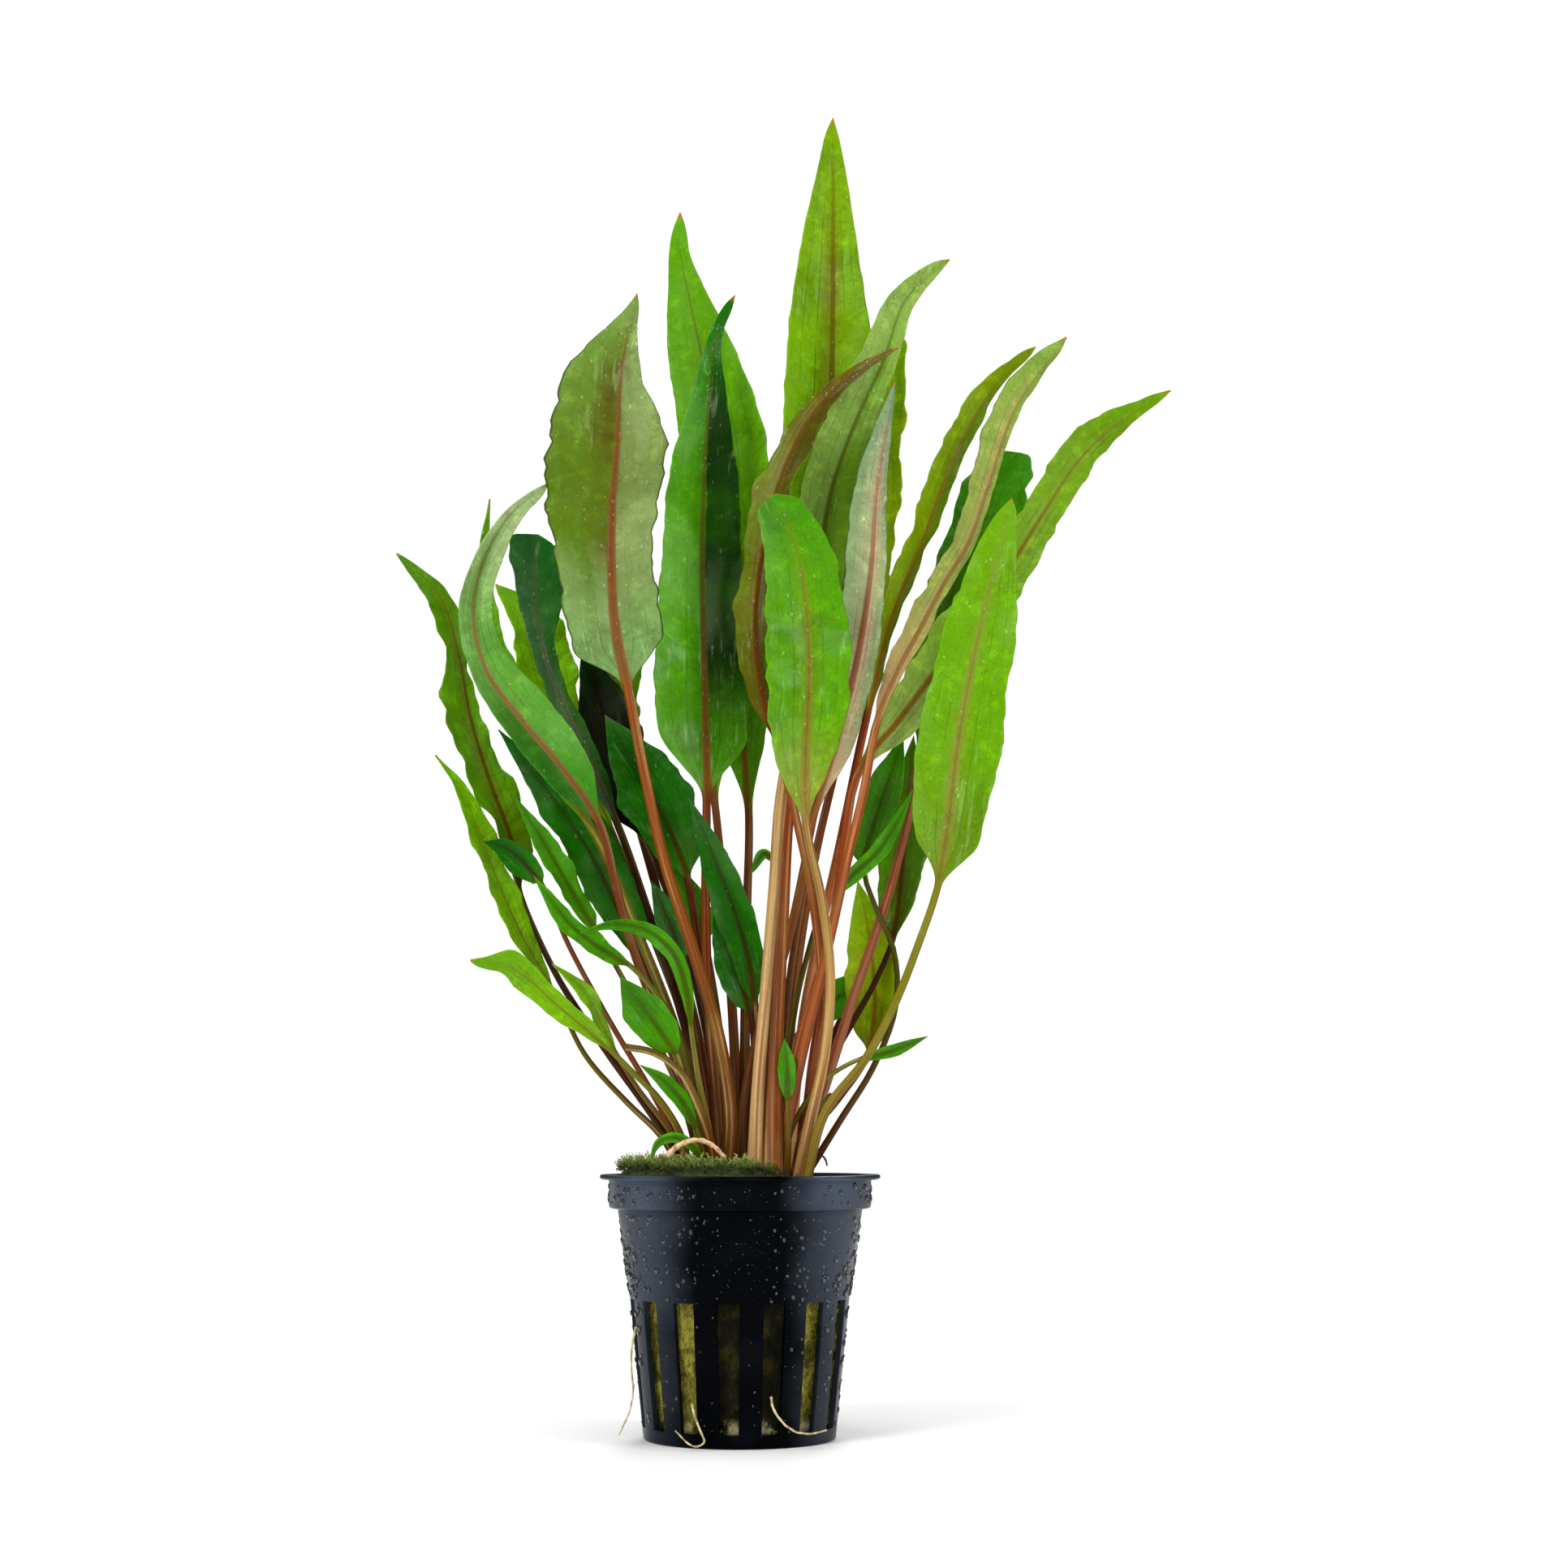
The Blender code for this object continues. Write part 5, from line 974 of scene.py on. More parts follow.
def scattered(shape, faces, origins, axes):
    """Copies of a small shape: its points turned to each set of three axes and moved to each origin."""
    points = origins[:, None] + np.einsum("pk,nkx->npx", shape, axes)
    count = len(shape)
    all_faces = [tuple(v + n * count for v in face) for n in range(len(origins)) for face in faces]
    return points.reshape(-1, 3), all_faces


def joined(*parts):
    """Several lists of points and faces as one."""
    points, faces, start = [], [], 0
    for part_points, part_faces in parts:
        points.append(part_points)
        faces.extend(tuple(v + start for v in face) for face in part_faces)
        start += len(part_points)
    return np.concatenate(points), faces


def drop_shape(sides=7):
    """A drop of water: a dome of unit radius that sits a little into what carries it."""
    levels = ((1.0, -0.12), (0.93, 0.22), (0.66, 0.48))
    angles = np.arange(sides) * math.tau / sides
    points = [(r * math.cos(a), r * math.sin(a), h) for r, h in levels for a in angles]
    points += [(0.0, 0.0, -0.14), (0.0, 0.0, 0.6)]
    return np.array(points), sleeve(len(levels), sides)


def frames_on(normals, down, rng):
    """Three unit axes for each normal, the first along down as it lies in the surface."""
    first = down - normals * np.sum(down * normals, axis=1, keepdims=True)
    first = unit(first + 1e-6 * rng.normal(size=first.shape))
    return np.stack((first, np.cross(normals, first), normals), axis=1)


# Leaves.
STALK_FINE = 26
BLADE_FINE = (40, 88)
RING_GAP = 1.05
HALF_COLUMNS = (0.0, 0.04, 0.09, 0.17, 0.28, 0.41, 0.54, 0.67, 0.79, 0.9, 0.965, 1.0)
COLUMNS = np.array([-share for share in HALF_COLUMNS[:0:-1]] + list(HALF_COLUMNS))
FOOT_SUNK = 3.0
BLADE_THICK = 0.34
FRILLS = {
    "tall_back_leaf": 0.3,
    "second_tall_leaf": 0.45,
    "centre_dark_leaf": 0.5,
    "left_arching_leaf": 0.5,
    "right_lime_leaf": 0.55,
    "front_bright_leaf": 0.8,
    "tan_wavy_leaf": 1.9,
    "far_right_leaf": 1.5,
    "olive_ribbon_leaf": 1.4,
    "narrow_wavy_leaf": 2.0,
    "light_wavy_leaf": 2.0,
    "thin_wavy_leaf": 2.2,
    "thin_lime_leaf": 1.4,
    "far_left_olive_leaf": 1.3,
}
MARGIN_WAVE = 0.75
DROPS_PER_MM2 = 0.16
DROP_REACH = (0.08, 0.93)


def fine_stations(leaf, route):
    stalk = np.linspace(0.0, route.base, STALK_FINE)
    if not leaf.blade:
        return stalk
    length = np.linalg.norm(np.diff(np.array(leaf.blade, float)[:, :2], axis=0), axis=1).sum()
    rings = int(np.clip(length / RING_GAP, *BLADE_FINE))
    even = np.linspace(0.0, 1.0, rings + 1)[1:]
    return np.concatenate((stalk, route.base + (1 - route.base) * (0.6 * even + 0.2 * (1 - np.cos(math.pi * even)))))


def waves(places, rng, lengths, sizes):
    """A sum of sine waves of given wave lengths and sizes, each starting anywhere."""
    total = np.zeros_like(places)
    for length, size in zip(lengths, sizes):
        stretch = length * rng.uniform(0.85, 1.15)
        total += size * np.sin(math.tau * places / stretch + rng.uniform(0, math.tau))
    return total


def leaf_drops(points, facts, rows, face, count, rng):
    """Small drops on one face of a blade. They carry the leaf's own numbers, so that they show its colour."""
    half = len(COLUMNS) - 1
    ring = rng.integers(rows[0], rows[1], count)
    column = rng.integers(1, half - 1, count) + (0 if face > 0 else half)
    along_ring, round_ring = rng.random((2, count))
    after = (column + 1) % points.shape[1]

    def within(grid):
        near = grid[ring, column] * (1 - round_ring[:, None]) + grid[ring, after] * round_ring[:, None]
        far = grid[ring + 1, column] * (1 - round_ring[:, None]) + grid[ring + 1, after] * round_ring[:, None]
        return near * (1 - along_ring[:, None]) + far * along_ring[:, None]

    run = points[ring + 1, column] - points[ring, column]
    normal = unit(np.cross(points[ring, after] - points[ring, column], run))
    size = 0.13 + 0.3 * rng.random(count) ** 2.5
    shape, faces = drop_shape(6)
    stretch = np.stack((size * rng.uniform(1.0, 1.5, count), size, size * 0.7), axis=1)
    axes = frames_on(normal, np.tile((0.0, 0.0, -1.0), (count, 1)), rng) * stretch[..., None]
    drop_points, drop_faces = scattered(shape, faces, within(points), axes)
    drop_facts = {title: np.repeat(within(grid if grid.ndim == 3 else grid[..., None]), len(shape), axis=0)
                  for title, grid in facts.items()}
    drop_facts = {title: values if title == "cloth" else values[:, 0] for title, values in drop_facts.items()}
    drop_facts["wet"] = np.ones(len(drop_points))
    return drop_points, drop_faces, drop_facts


def fine_leaf(leaf, route, offset, material, tone, rng):
    """The finished leaf: a ridged stalk that opens into a thin blade with a raised midrib and a wavy margin."""
    at = fine_stations(leaf, route)
    drift = smooth_curve(ring_stations(leaf, route), offset, at)
    centre, side, upper, along, turn = leaf_frames(leaf, route, at, drift)
    mm = np.concatenate(([0.0], np.cumsum(np.linalg.norm(np.diff(centre, axis=0), axis=1))))
    stalk = 0.5 * (leaf.stem[0] + (leaf.stem[1] - leaf.stem[0]) * np.clip(at / route.base, 0, 1))
    stalk = (stalk * (1 - 0.75 * along))[:, None]
    spread = np.clip(along / 0.13, 0, 1)
    spread = (spread * spread * (3 - 2 * spread))[:, None]

    half_turn = math.pi * (1 - np.arange(len(COLUMNS)) / (len(COLUMNS) - 1))
    around = np.concatenate((half_turn, -half_turn[-2:0:-1]))
    ridge = 1 + 0.05 * np.sin(6 * around + rng.uniform(0, 6)) + 0.035 * np.sin(11 * around + rng.uniform(0, 6))
    groove = 1 - 0.22 * np.exp(-((around - 0.5 * math.pi) / 0.45) ** 2)
    flare = 1 + 0.3 * np.exp(-mm[:, None] / 10.0)
    stalk_x = stalk * ridge * flare * np.cos(around)
    stalk_z = stalk * ridge * groove * np.sin(around) * 0.94

    columns = np.concatenate((COLUMNS, COLUMNS[-2:0:-1]))
    facing_up = np.concatenate((np.ones(len(COLUMNS)), -np.ones(len(COLUMNS) - 2)))
    at_edge = np.abs(columns) == 1
    first, second = blade_reach(leaf, along, turn)
    width = np.where(columns < 0, first[:, None], second[:, None])
    fullness = np.clip(0.5 * (first + second)[:, None] / 6.0, 0.2, 1.15)
    frill = FRILLS.get(leaf.name, 1.0)
    window = np.sin(math.pi * np.clip(along, 0, 1))[:, None] ** 0.5
    crimps = [waves(mm, rng, (8.5, 4.6, 2.9), (0.03, 0.02, 0.012))[:, None] for _ in range(2)]
    heaves = [waves(mm, rng, (21.0, 11.5, 6.2), (0.9, 0.6, 0.35))[:, None] for _ in range(2)]
    crimp = np.where(columns < 0, crimps[0], crimps[1])
    heave = np.where(columns < 0, heaves[0], heaves[1])
    out = np.abs(columns)
    reach = np.maximum(width, 0.2 * stalk)
    fold = math.radians(leaf.fold)
    blade_x = np.sign(columns) * reach * out * math.cos(fold) * (1 + frill * crimp * window * out ** 2)
    lift = reach * math.sin(fold) * out ** 1.15
    lift = lift + frill * MARGIN_WAVE * fullness * heave * window * out ** 2.4
    lift = lift + 0.1 * fullness * window * waves(mm, rng, (7.4, 4.1), (0.7, 0.5))[:, None] * np.sin(math.tau * out)
    rib_high = 0.5 * (RIB_THICK + (TIP_THICK - RIB_THICK) * along)[:, None]
    rib_wide = 0.25 + 0.45 * (1 - along[:, None])
    rib = np.exp(-(blade_x / rib_wide) ** 2)
    skin = 0.5 * BLADE_THICK * np.where(at_edge, 0.0, 1 - 0.5 * out ** 4)
    thick = skin + (rib_high - skin) * rib * np.where(facing_up > 0, 0.35, 1.0)
    blade_z = lift + facing_up * thick

    across = stalk_x + (blade_x - stalk_x) * spread
    height = stalk_z + (blade_z - stalk_z) * spread
    points = centre[:, None] + side[:, None] * across[..., None] + upper[:, None] * height[..., None]
    points[0, :, 2] -= FOOT_SUNK
    ends = np.stack((points[0].mean(axis=0), points[-1].mean(axis=0)))
    sides = len(columns)

    level = np.where(at < route.base, at / route.base - 1, along)
    seed = rng.uniform(0, 500)
    cloth = np.stack((across, np.broadcast_to(mm[:, None], across.shape), seed + 40 * (facing_up > 0)
                      + np.zeros_like(across)), axis=-1)
    grids = {
        "along": np.repeat(level[:, None], sides, axis=1),
        "across": np.tile(columns, (len(at), 1)),
        "side": np.tile(np.where(at_edge, 0, facing_up), (len(at), 1)),
        "cloth": cloth,
    }
    facts = {title: np.concatenate((grid.reshape(-1, *grid.shape[2:]), grid[(0, -1), 0]))
             for title, grid in grids.items()}
    facts["wet"] = np.zeros(len(facts["along"]))
    all_points, faces = np.concatenate((points.reshape(-1, 3), ends)), sleeve(len(at), sides)
    area = np.sum((first + second)[1:] * np.diff(mm))
    drops = int(DROPS_PER_MM2 * tone.dew * area)
    if leaf.blade and drops:
        rows = np.searchsorted(along, DROP_REACH)
        face = -1 if tone.turned else 1
        drop_points, drop_faces, drop_facts = leaf_drops(points, grids, rows, face, drops, rng)
        all_points, faces = joined((all_points, faces), (drop_points, drop_faces))
        facts = {title: np.concatenate((facts[title], drop_facts[title])) for title in facts}
    name = leaf.name.removesuffix("_leaf") + ("_blade" if leaf.blade else "_stub")
    return add_piece(name, all_points, faces, leaf_slot(leaf), material, (leaf.name,), facts)


def make_leaves():
    tone_names = {name: tone for tone, names in TONE_OF.items() for name in names}
    routes = [Route(leaf) for leaf in LEAVES]
    offsets = settle(LEAVES, routes)
    finishes = {}
    for number, (leaf, route, offset) in enumerate(zip(LEAVES, routes, offsets)):
        tone = tone_names[leaf.name]
        if tone not in finishes:
            finishes[tone] = leaf_finish(tone + "_leaf_finish", TONES[tone])
        fine_leaf(leaf, route, offset, finishes[tone], TONES[tone], np.random.default_rng(100 + number))


make_leaves()


# Pot.
def wall_radius(height):
    """The pot's outer radius below the collar."""
    return np.interp(height, (BASE_ROUNDING, SLOT_TOP, COLLAR_FOOT),
                     (BASE_RADIUS, WALL_MIDDLE_RADIUS, WALL_TOP_RADIUS))


def pot_finish():
    """Blue-black moulded plastic, glossy where it is wet, with dried drops as a faint film and a painted blue-grey
    sheen on its left and right sides.
    """
    pot = Finish("pot_plastic_finish", Specular_IOR_Level=0.02, Coat_Roughness=0.24)
    place = pot.node("ShaderNodeTexCoord", output=3)
    grain = pot.noise(place, 900.0, 3.0, 0.6)
    cloud = pot.noise(place, 90.0, 3.0, 0.55)
    film = pot.rise(cloud, 0.45, 0.7)
    across = pot.node("ShaderNodeSeparateXYZ", None, place)
    height = pot.node("ShaderNodeSeparateXYZ", None, place, output=2)
    # Painted sheen: the wall is lighter and blue-grey towards its left and right sides as seen from the front, more
    # on the collar and less low down, and the coat follows the same mask.
    beside = pot.rise(abs(across) + (cloud - 0.5) * 0.008, 0.0075, 0.019) * pot.rise(abs(across), 0.031, 0.018)
    collar = pot.rise(height, (COLLAR_FOOT - 0.5) * MM, (COLLAR_FOOT + 0.5) * MM)
    colour = pot.blend(film * 0.6, eye_colour(2, 3, 5), eye_colour(9, 11, 17))
    lit_share = beside * (0.62 + collar * 0.38) * (0.45 + pot.rise(height, 0.02, 0.03) * 0.55)
    pot.set("Base Color", pot.blend(lit_share, colour, eye_colour(62, 71, 86)))
    pot.set("Coat Weight", beside * 0.2)
    pot.set("Roughness", 0.24 + film * 0.14 + (grain - 0.5) * 0.12)
    pot.bump(grain * 0.25 + cloud * 0.5, 0.35, 0.0002)
    return pot.material


def make_pot():
    """The net pot turned about its axis, with its slots and drain holes cut and its edges rounded."""
    steps = 150
    inner_step = COLLAR_FOOT + 0.9
    profile = [
        (COLLAR_RADIUS - WALL, RIM_TOP),
        (RIM_RADIUS - 0.3, RIM_TOP),
        (RIM_RADIUS - 0.08, RIM_TOP - 0.08),
        (RIM_RADIUS, RIM_TOP - 0.3),
        (RIM_RADIUS, RIM_TOP - RIM_THICK + 0.3),
        (RIM_RADIUS - 0.25, RIM_TOP - RIM_THICK),
        (COLLAR_RADIUS + 0.45, RIM_TOP - RIM_THICK - 0.05),
        (COLLAR_RADIUS + 0.12, RIM_TOP - RIM_THICK - 0.18),
        (COLLAR_RADIUS, RIM_TOP - RIM_THICK - 0.5),
        (COLLAR_RADIUS - 0.05, COLLAR_FOOT + 0.5),
        (COLLAR_RADIUS - 0.17, COLLAR_FOOT + 0.15),
        (COLLAR_RADIUS - 0.5, COLLAR_FOOT),
        (WALL_TOP_RADIUS + 0.3, COLLAR_FOOT - 0.05),
        (WALL_TOP_RADIUS + 0.05, COLLAR_FOOT - 0.2),
        (WALL_TOP_RADIUS - 0.02, COLLAR_FOOT - 0.6),
        (wall_radius(36.0), 36.0),
        (wall_radius(SLOT_TOP), SLOT_TOP + 0.8),
        (wall_radius(14.0), 14.0),
        (BASE_RADIUS, BASE_ROUNDING),
        (BASE_RADIUS - 0.08 * BASE_ROUNDING, 0.5 * BASE_ROUNDING),
        (BASE_RADIUS - 0.3 * BASE_ROUNDING, 0.2 * BASE_ROUNDING),
        (BASE_RADIUS - BASE_ROUNDING, 0.0),
        (0.0, 0.0),
        (0.0, FLOOR),
        (wall_radius(FLOOR) - WALL, FLOOR),
        (wall_radius(14.0) - WALL, 14.0),
        (wall_radius(SLOT_TOP) - WALL, SLOT_TOP + 0.8),
        (wall_radius(36.0) - WALL, 36.0),
        (WALL_TOP_RADIUS - WALL, inner_step - 0.3),
        (COLLAR_RADIUS - WALL, inner_step + 0.5),
    ]
    mesh = bpy.data.meshes.new("pot_turning")
    count = len(profile)
    edges = [(k, (k + 1) % count) for k in range(count)]
    mesh.from_pydata([(radius * MM, 0.0, height * MM) for radius, height in profile], edges, [])
    turning = bpy.data.objects.new("pot_turning", mesh)
    bpy.context.scene.collection.objects.link(turning)
    turn = turning.modifiers.new("turn", "SCREW")
    turn.steps = steps
    turn.render_steps = steps
    turn.use_merge_vertices = True
    turn.merge_threshold = 0.00002
    turn.use_normal_calculate = True
    cutter = openings_cutter()
    slots = turning.modifiers.new("slots", "BOOLEAN")
    slots.operation = "DIFFERENCE"
    slots.solver = "EXACT"
    slots.object = cutter
    rounding = turning.modifiers.new("rounding", "BEVEL")
    rounding.width = 0.16 * MM
    rounding.segments = 2
    rounding.limit_method = "ANGLE"
    rounding.angle_limit = math.radians(50)
    rounding.use_clamp_overlap = True
    ready = turning.evaluated_get(bpy.context.evaluated_depsgraph_get())
    shaped = bpy.data.meshes.new_from_object(ready)
    for spare in (turning, cutter):
        bpy.data.objects.remove(spare)
    shaped.materials.clear()
    shaped.materials.append(pot_finish())
    shaped.shade_smooth()
    shaped.set_sharp_from_angle(angle=math.radians(38))
    pot = bpy.data.objects.new("net_pot", shaped)
    bpy.context.scene.collection.objects.link(pot)
    place_piece(pot, ("pot",))


def openings_cutter():
    """One mesh that cuts all wall slots and floor slots."""
    points, faces = [], []
    sides = [(k, (k + 1) % 4, (k + 1) % 4 + 4, k + 4) for k in range(4)]

    def add(ends, angle):
        start = len(points)
        c, s = math.cos(angle), math.sin(angle)
        points.extend((x * c - y * s, x * s + y * c, z) for end in ends for x, y, z in end)
        faces.extend(tuple(start + k for k in face) for face in [(3, 2, 1, 0), (4, 5, 6, 7)] + sides)

    inner, outer = BASE_RADIUS - 6.0, COLLAR_RADIUS + 2.0
    for k in range(SLOTS):
        add([[(inner, -w / 2, z), (outer, -w / 2, z), (outer, w / 2, z), (inner, w / 2, z)]
             for w, z in ((SLOT_NARROW, SLOT_FOOT), (SLOT_WIDE, SLOT_TOP))], SLOT_PHASE + math.tau * k / SLOTS)
    half = DRAIN_WIDE / 2
    flat = ((DRAIN_FROM, -half), (DRAIN_TO, -half), (DRAIN_TO, half), (DRAIN_FROM, half))
    for k in range(DRAINS):
        add([[(x, y, z) for x, y in flat] for z in (-1.0, FLOOR + 0.6)], math.tau * k / DRAINS)
    mesh = bpy.data.meshes.new("pot_openings")
    mesh.from_pydata((np.array(points) * MM).tolist(), [], faces)
    shaped = bmesh.new()
    shaped.from_mesh(mesh)
    bmesh.ops.recalc_face_normals(shaped, faces=shaped.faces)
    shaped.to_mesh(mesh)
    shaped.free()
    cutter = bpy.data.objects.new("pot_openings", mesh)
    bpy.context.scene.collection.objects.link(cutter)
    return cutter


def in_slot(angle, height, margin):
    """Whether a place on the wall lies in a slot or within margin of it."""
    step = math.tau / SLOTS
    off = (angle - SLOT_PHASE + step / 2) % step - step / 2
    wide = np.interp(height, (SLOT_FOOT, SLOT_TOP), (SLOT_NARROW, SLOT_WIDE))
    beside = np.abs(off) * wall_radius(height) < wide / 2 + margin
    return beside & (height > SLOT_FOOT - margin) & (height < SLOT_TOP + margin)


def make_pot_drops():
    """Drops of water that cling to the pot's wall and collar."""
    rng = np.random.default_rng(11)
    count = 5800
    angle = rng.uniform(0, math.tau, count)
    height = rng.uniform(2.0, RIM_TOP - RIM_THICK - 1.0, count)
    size = (0.13 + 0.6 * rng.random(count) ** 2.2) * (0.26 + 0.74 * np.abs(np.cos(angle)))
    wanted = np.interp(height, (2, 26, 30, 42, 44.5, 50), (0.25, 0.4, 0.9, 0.95, 1.0, 1.0))
    patchy = (0.8 + 0.2 * np.sin(3 * angle + 0.14 * height + 1.0)) * (0.5 + 0.5 * np.abs(np.cos(angle)))
    keep = (rng.random(count) < wanted * patchy) & ~in_slot(angle, height, 1.3 * size)
    keep &= np.abs(height - COLLAR_FOOT) > size + 0.7
    angle, height, size = angle[keep], height[keep], size[keep]
    on_collar = height > COLLAR_FOOT
    radius = np.where(on_collar, COLLAR_RADIUS - 0.02, wall_radius(height))
    slope = np.where(on_collar, 0.01, 0.11)
    out = np.stack((np.cos(angle), np.sin(angle), np.zeros_like(angle)), axis=1)
    normals = unit(out - np.stack((0 * slope, 0 * slope, slope), axis=1))
    origins = out * radius[:, None] + np.stack((0 * height, 0 * height, height), axis=1)
    axes = frames_on(normals, np.tile((0.0, 0.0, -1.0), (len(size), 1)), rng)
    stretch = np.stack((size * rng.uniform(1.0, 1.45, len(size)), size, size * 0.9), axis=1)
    shape, faces = drop_shape()
    points, faces = scattered(shape, faces, origins, axes * stretch[..., None])
    water = Finish("pot_drop_finish", Specular_IOR_Level=0.6, Coat_Weight=0.4, Coat_Roughness=0.03)
    tint = water.noise(water.node("ShaderNodeTexCoord", output=3), 300.0)
    water.set("Base Color", water.blend(tint, eye_colour(3, 4, 6), eye_colour(14, 16, 24)))
    water.set("Roughness", 0.03 + tint * 0.05)
    add_piece("pot_drops", points, faces, "pot_plastic", water.material)


make_pot()
make_pot_drops()


# Rock wool, moss, roots and rootstock.
def ripple(points, rng, lengths, sizes):
    """A soft irregular height over places in space, made of sine waves in random directions."""
    total = np.zeros(len(points))
    for length, size in zip(lengths, sizes):
        for _ in range(4):
            way = unit(rng.normal(size=3))
            total += size * 0.5 * np.sin(math.tau * (points @ way) / length + rng.uniform(0, math.tau))
    return total


def fibre_shape(rings=6, bend=0.16):
    """A fibre of unit length and unit thickness that tapers to both ends."""
    t = np.linspace(0, 1, rings)
    angles = np.arange(3) * math.tau / 3
    wide = 0.35 + 0.65 * np.sin(math.pi * t)
    points = np.stack((wide[:, None] * np.cos(angles), wide[:, None] * np.sin(angles),
                       np.repeat(t[:, None] - 0.5, 3, axis=1)), axis=-1).reshape(-1, 3)
    ends = np.array(((0.0, 0.0, -0.5), (0.0, 0.0, 0.5)))
    return np.concatenate((points, ends)), sleeve(rings, 3), bend


def bent_fibres(origins, ways, normals, lengths, thick, rng, rings=6):
    """Fibres laid at origins along ways, each bowed to one side."""
    shape, faces, _ = fibre_shape(rings)
    count = len(origins)
    other = np.cross(ways, normals)
    bow = rng.normal(0, 0.14, count) * lengths
    hump = rng.uniform(0.0, 0.1, count) * lengths
    t = shape[:, 2]
    arch = 1 - 4 * t * t
    points = (origins[:, None] + ways[:, None] * (t[None, :, None] * lengths[:, None, None])
              + other[:, None] * (bow[:, None] * arch[None, :] + thick * shape[None, :, 0])[..., None]
              + normals[:, None] * (hump[:, None] * arch[None, :] + thick * shape[None, :, 1])[..., None])
    size = len(shape)
    return points.reshape(-1, 3), [tuple(v + n * size for v in face) for n in range(count) for face in faces]


def wool_finish():
    """Matted mineral wool, mustard and olive with algae, with painted shade between its strands and painted shade
    that makes it nearly black in the middle of the front.
    """
    wool = Finish("rock_wool_finish", Specular_IOR_Level=0.15)
    place = wool.node("ShaderNodeTexCoord", output=3)
    strand = wool.noise(wool.stretch(place, (1.0, 1.0, 0.45)), 1500.0, 4.0, 0.7, 1.2)
    patch = wool.noise(place, 210.0, 3.0, 0.6)
    across = wool.node("ShaderNodeSeparateXYZ", None, place)
    depth = wool.node("ShaderNodeSeparateXYZ", None, place, output=1)
    colour = wool.blend(wool.rise(patch, 0.35, 0.6), eye_colour(92, 94, 20), eye_colour(182, 170, 70))
    # Painted shade: the wool is darker between its strands.
    colour = wool.blend(wool.rise(strand, 0.56, 0.36) * 0.8, colour, eye_colour(34, 36, 8))
    colour = wool.blend(wool.rise(patch, 0.56, 0.72) * 0.6, colour, eye_colour(86, 116, 20))
    # Painted shade: in the middle of the front, seen through the slots, the wool is made nearly black with the wet
    # colour.
    front = wool.rise(depth, -0.01, -0.013)
    painted_front_shade = wool.rise(abs(across - 0.001 + (patch - 0.5) * 0.006), 0.0092, 0.008) * front
    wet = wool.blend(wool.rise(patch, 0.5, 0.66), eye_colour(12, 11, 4), eye_colour(50, 46, 14))
    colour = wool.blend(painted_front_shade * 0.97, colour, wet)
    height = wool.node("ShaderNodeSeparateXYZ", None, place, output=2)
    clean = wool.rise(height + strand * 0.004, 0.0075, 0.0055) * wool.rise(patch, 0.45, 0.55)
    wool.set("Base Color", wool.blend(clean * 0.85, colour, eye_colour(206, 200, 150)))
    wool.set("Roughness", 0.6 + strand * 0.3)
    wool.bump(strand + patch * 0.5, 0.9, 0.0007)
    return wool.material


def make_wool():
    """The plug of rock wool: a lumpy fibrous body with loose fibres lying on it."""
    rng = np.random.default_rng(23)
    gap = WALL + WOOL_CLEARANCE
    foot = FLOOR + GAP
    heights = np.concatenate((np.linspace(foot, foot + 1.4, 4)[:-1], np.linspace(foot + 1.4, WOOL_TOP - 2.2, 46),
                              np.linspace(WOOL_TOP - 2.2, WOOL_TOP, 5)[1:]))
    count = 200
    turn = np.arange(count) * math.tau / count
    radii = wall_radius(np.maximum(heights, foot)) - gap - 0.25
    radii[:3] -= np.array((1.2, 0.5, 0.15))
    radii[-4:] -= np.array((0.3, 0.8, 1.6, 3.2))
    rows = np.stack((radii[:, None] * np.cos(turn), radii[:, None] * np.sin(turn),
                     np.repeat(heights[:, None], count, axis=1)), axis=-1)
    flat = rows.reshape(-1, 3)
    out = unit(flat * (1, 1, 0))
    dent = ripple(flat, rng, (9.0, 4.0, 1.9, 1.0), (0.22, 0.18, 0.13, 0.08))
    flat = flat + out * (dent - 0.3)[:, None]
    ends = np.array(((0, 0, foot), (0, 0, WOOL_TOP)))
    body = np.concatenate((flat, ends)), sleeve(len(heights), count)

    fibres = 2600
    angle = rng.uniform(0, math.tau, fibres)
    height = rng.uniform(foot + 1.5, SLOT_TOP + 3.0, fibres)
    out = np.stack((np.cos(angle), np.sin(angle), 0 * angle), axis=1)
    origins = out * (wall_radius(height) - gap - 0.3 + rng.uniform(-0.15, 0.3, fibres))[:, None]
    origins[:, 2] = height
    level = np.stack((-np.sin(angle), np.cos(angle), 0 * angle), axis=1)
    lean = rng.normal(0.9, 0.6, fibres)
    ways = level * np.cos(lean)[:, None] + np.array((0, 0, 1.0)) * np.sin(lean)[:, None]
    lengths = rng.uniform(1.6, 4.6, fibres)
    strands = bent_fibres(origins, ways, out, lengths, 0.05, rng)
    add_piece("rock_wool_plug", *joined(body, strands), "rock_wool", wool_finish(), ("rock_wool",))


def moss_top(x, y):
    """How high the moss stands: full on the left and in front, low on the right."""
    slope = np.clip((x - 2.0) / 12.0 + np.maximum(y, 0.0) / 30.0, 0.0, 1.0)
    return MOSS_TOP + (MOSS_LOW_TOP - MOSS_TOP) * slope


def from_crown(x, y, margin):
    """Below 1 inside the crown's oval grown by margin."""
    return np.hypot((x - CROWN_CENTRE[0]) / (CROWN_RADII[0] + margin), (y - CROWN_CENTRE[1])
                    / (CROWN_RADII[1] + margin))


